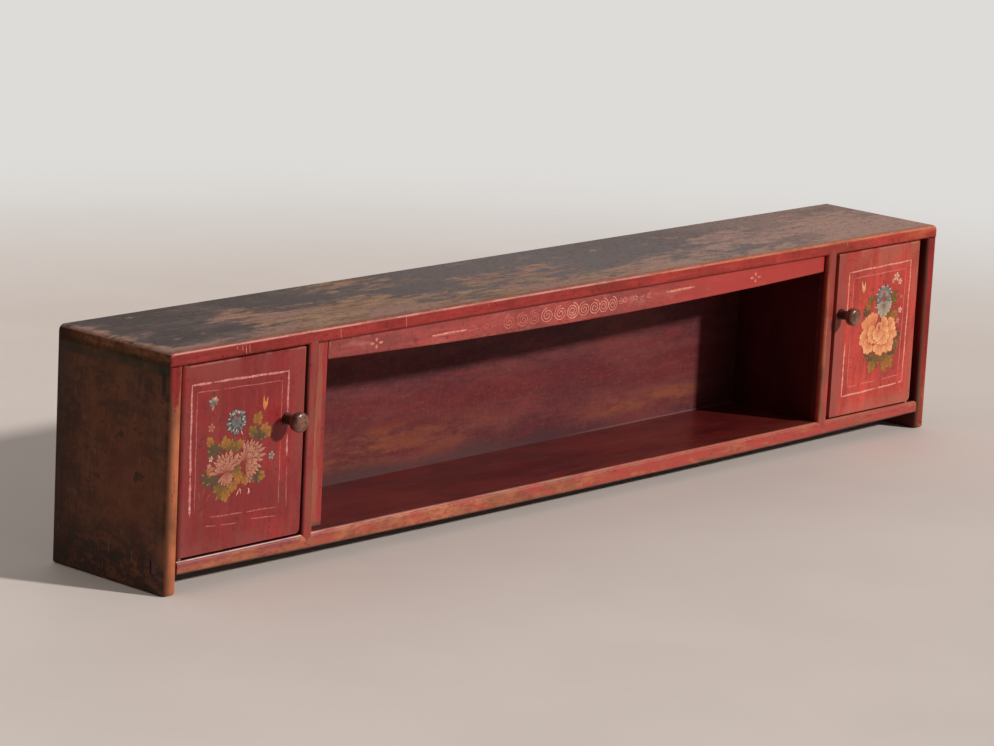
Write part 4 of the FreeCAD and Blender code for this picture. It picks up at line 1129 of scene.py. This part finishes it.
def paint_apron(material):
    """A row of cloud coils at the middle, thinning to dashes and a cross each way."""
    face = Face("apron", "carcass", 5, 0.0)
    bright, faint = srgb(238, 158, 130), srgb(206, 118, 100)
    level = -0.6
    spiral(face, (-32.5, level), 14.5, 12.8, 2.7, 1.8, bright)
    for across, size in APRON_COILS:
        colour = bright if across > -90 else faint
        spiral(face, (across, level), size + 1, 11.5, 2.3, 1.35, colour, across > 0)
    for across, up in ((76, 1), (88, 2), (100, 2), (112, 3), (124, 2), (140, 3)):
        spiral(face, (across, up), 6.5, 4.6, 1.4, 0.85, bright, across % 8 > 2)
    for across, up in ((-190, 1), (-206, 0), (-222, -1)):
        spiral(face, (across, up), 8.0, 4.0, 1.2, 0.85, faint)
    for across, up, to_across, to_up, width, colour in (
            (148, 3, 176, 4, 0.9, faint), (182, 3.4, 248, 4.2, 3.4, bright), (206, 1.8, 240, 2.4, 1.1, faint),
            (-232, -2, -262, -2.6, 0.9, faint), (-262, -1, -335, -1.2, 3.2, bright),
            (-285, -3, -330, -3.4, 1.2, faint), (-541, 8, -540.6, 17, 0.8, bright)):
        face.line((across, up), (to_across, to_up), width, colour, RED)
    pink = blended(bright, RED, 0.35)
    cross(face, (396, 2), (faint, pink))
    cross(face, (-448, 2.5), (faint, pink))
    face.finish(material)


def paint_top_marks(material):
    """Chips through the red on the front edge of the top board."""
    face = Face("top_board", "carcass", 6, 0.0)
    for across, length, width in ((-530, 15, 1.6), (-399, 15, 1.4), (-706, 13, 1.2), (-713, 14, 1.5),
                                  (-721, 9, 1.1), (-730, 5, 1.6), (612, 7, 1.2), (-228, 5, 0.9)):
        face.line((across, 6.0), (across + 2.0, 6.0 - length), width, CHIP, RED, 0, 0.7)
    face.finish(material)


def make_stage():
    """A pale round floor that fades into the background."""
    mesh = bmesh.new()
    bmesh.ops.create_circle(mesh, cap_ends=True, radius=FLOOR_RADIUS, segments=128)
    data = bpy.data.meshes.new("studio_floor")
    mesh.to_mesh(data)
    mesh.free()
    floor = bpy.data.objects.new("studio_floor", data)
    floor.location = (0, 0, -0.0002)
    bpy.context.scene.collection.objects.link(floor)
    g = Graph("studio_floor")
    marks = g.noise(3.0, 2.0, 5.0)
    colour = g.mix(g.step(marks, 0.3, 0.7), FLOOR, grown(FLOOR, 0.95))
    g.surface(colour, g.between(marks, 0.55, 0.7), marks, 0.2)
    fade = g.step(g.vector("LENGTH", g.place), FLOOR_SOLID_RADIUS, FLOOR_RADIUS)
    g.show("Material Output", fade, g.shader, g.node("BsdfTransparent"))
    data.materials.append(g.material)


def make_lamp():
    """One soft lamp for the daylight."""
    lamp = bpy.data.lights.new("daylight", "SUN")
    lamp.energy = LIGHT_STRENGTH
    lamp.angle = math.radians(LIGHT_WIDTH_DEGREES)
    holder = bpy.data.objects.new("daylight", lamp)
    holder.rotation_euler = LIGHT_TRAVEL.to_track_quat("-Z", "Y").to_euler()
    bpy.context.scene.collection.objects.link(holder)


def make_sky():
    """A sky that is brighter behind and above, and a plain background for the camera."""
    world = bpy.data.worlds.new("studio")
    bpy.context.scene.world = world
    w = Tree(world)
    way = w.split(w.here["Generated"])
    back = w.step(way["Y"], -0.35, 0.6, SKY_FRONT, SKY_BACK)
    above = w.step(way["Z"], 0.0, 0.35, SKY_HORIZON_SHARE, 1.0)
    sky = w.tree.nodes["Background"]
    sky.inputs["Color"].default_value = SKY_COLOUR
    w.feed(sky.inputs["Strength"], w.product(back, above))
    seen = w.node("LightPath").outputs["Is Camera Ray"]
    w.show("World Output", seen, sky, w.node("Background", {"Color": BACKGROUND}))


def make_camera():
    turn, dip, roll = (math.radians(v) for v in (CAMERA_TURN, CAMERA_DIP, CAMERA_ROLL))
    forward = Vector((math.sin(turn) * math.cos(dip), math.cos(turn) * math.cos(dip), -math.sin(dip)))
    level = Vector((math.cos(turn), -math.sin(turn), 0))
    upright = level.cross(forward)
    right = level * math.cos(roll) + upright * math.sin(roll)
    up = upright * math.cos(roll) - level * math.sin(roll)
    lens = bpy.data.cameras.new("photograph")
    lens.lens = CAMERA_LENS_MM
    lens.sensor_width = SENSOR_MM
    camera = bpy.data.objects.new("photograph", lens)
    turned = Matrix((right, up, -forward)).transposed().to_4x4()
    camera.matrix_world = Matrix.Translation(CAMERA_PLACE) @ turned
    bpy.context.scene.collection.objects.link(camera)
    bpy.context.scene.camera = camera


bpy.context.scene.view_settings.view_transform = "Standard"
dress_frame()
paint_left_door(paint_finish("left_door_ornament", LEFT_DOOR_RED, 0.56))
paint_right_door(paint_finish("right_door_ornament", RIGHT_DOOR_RED_LIT, 0.6))
carcass_paint = paint_finish("carcass_ornament", RED, 0.56)
paint_apron(carcass_paint)
paint_top_marks(carcass_paint)
make_stage()
make_lamp()
make_sky()
make_camera()
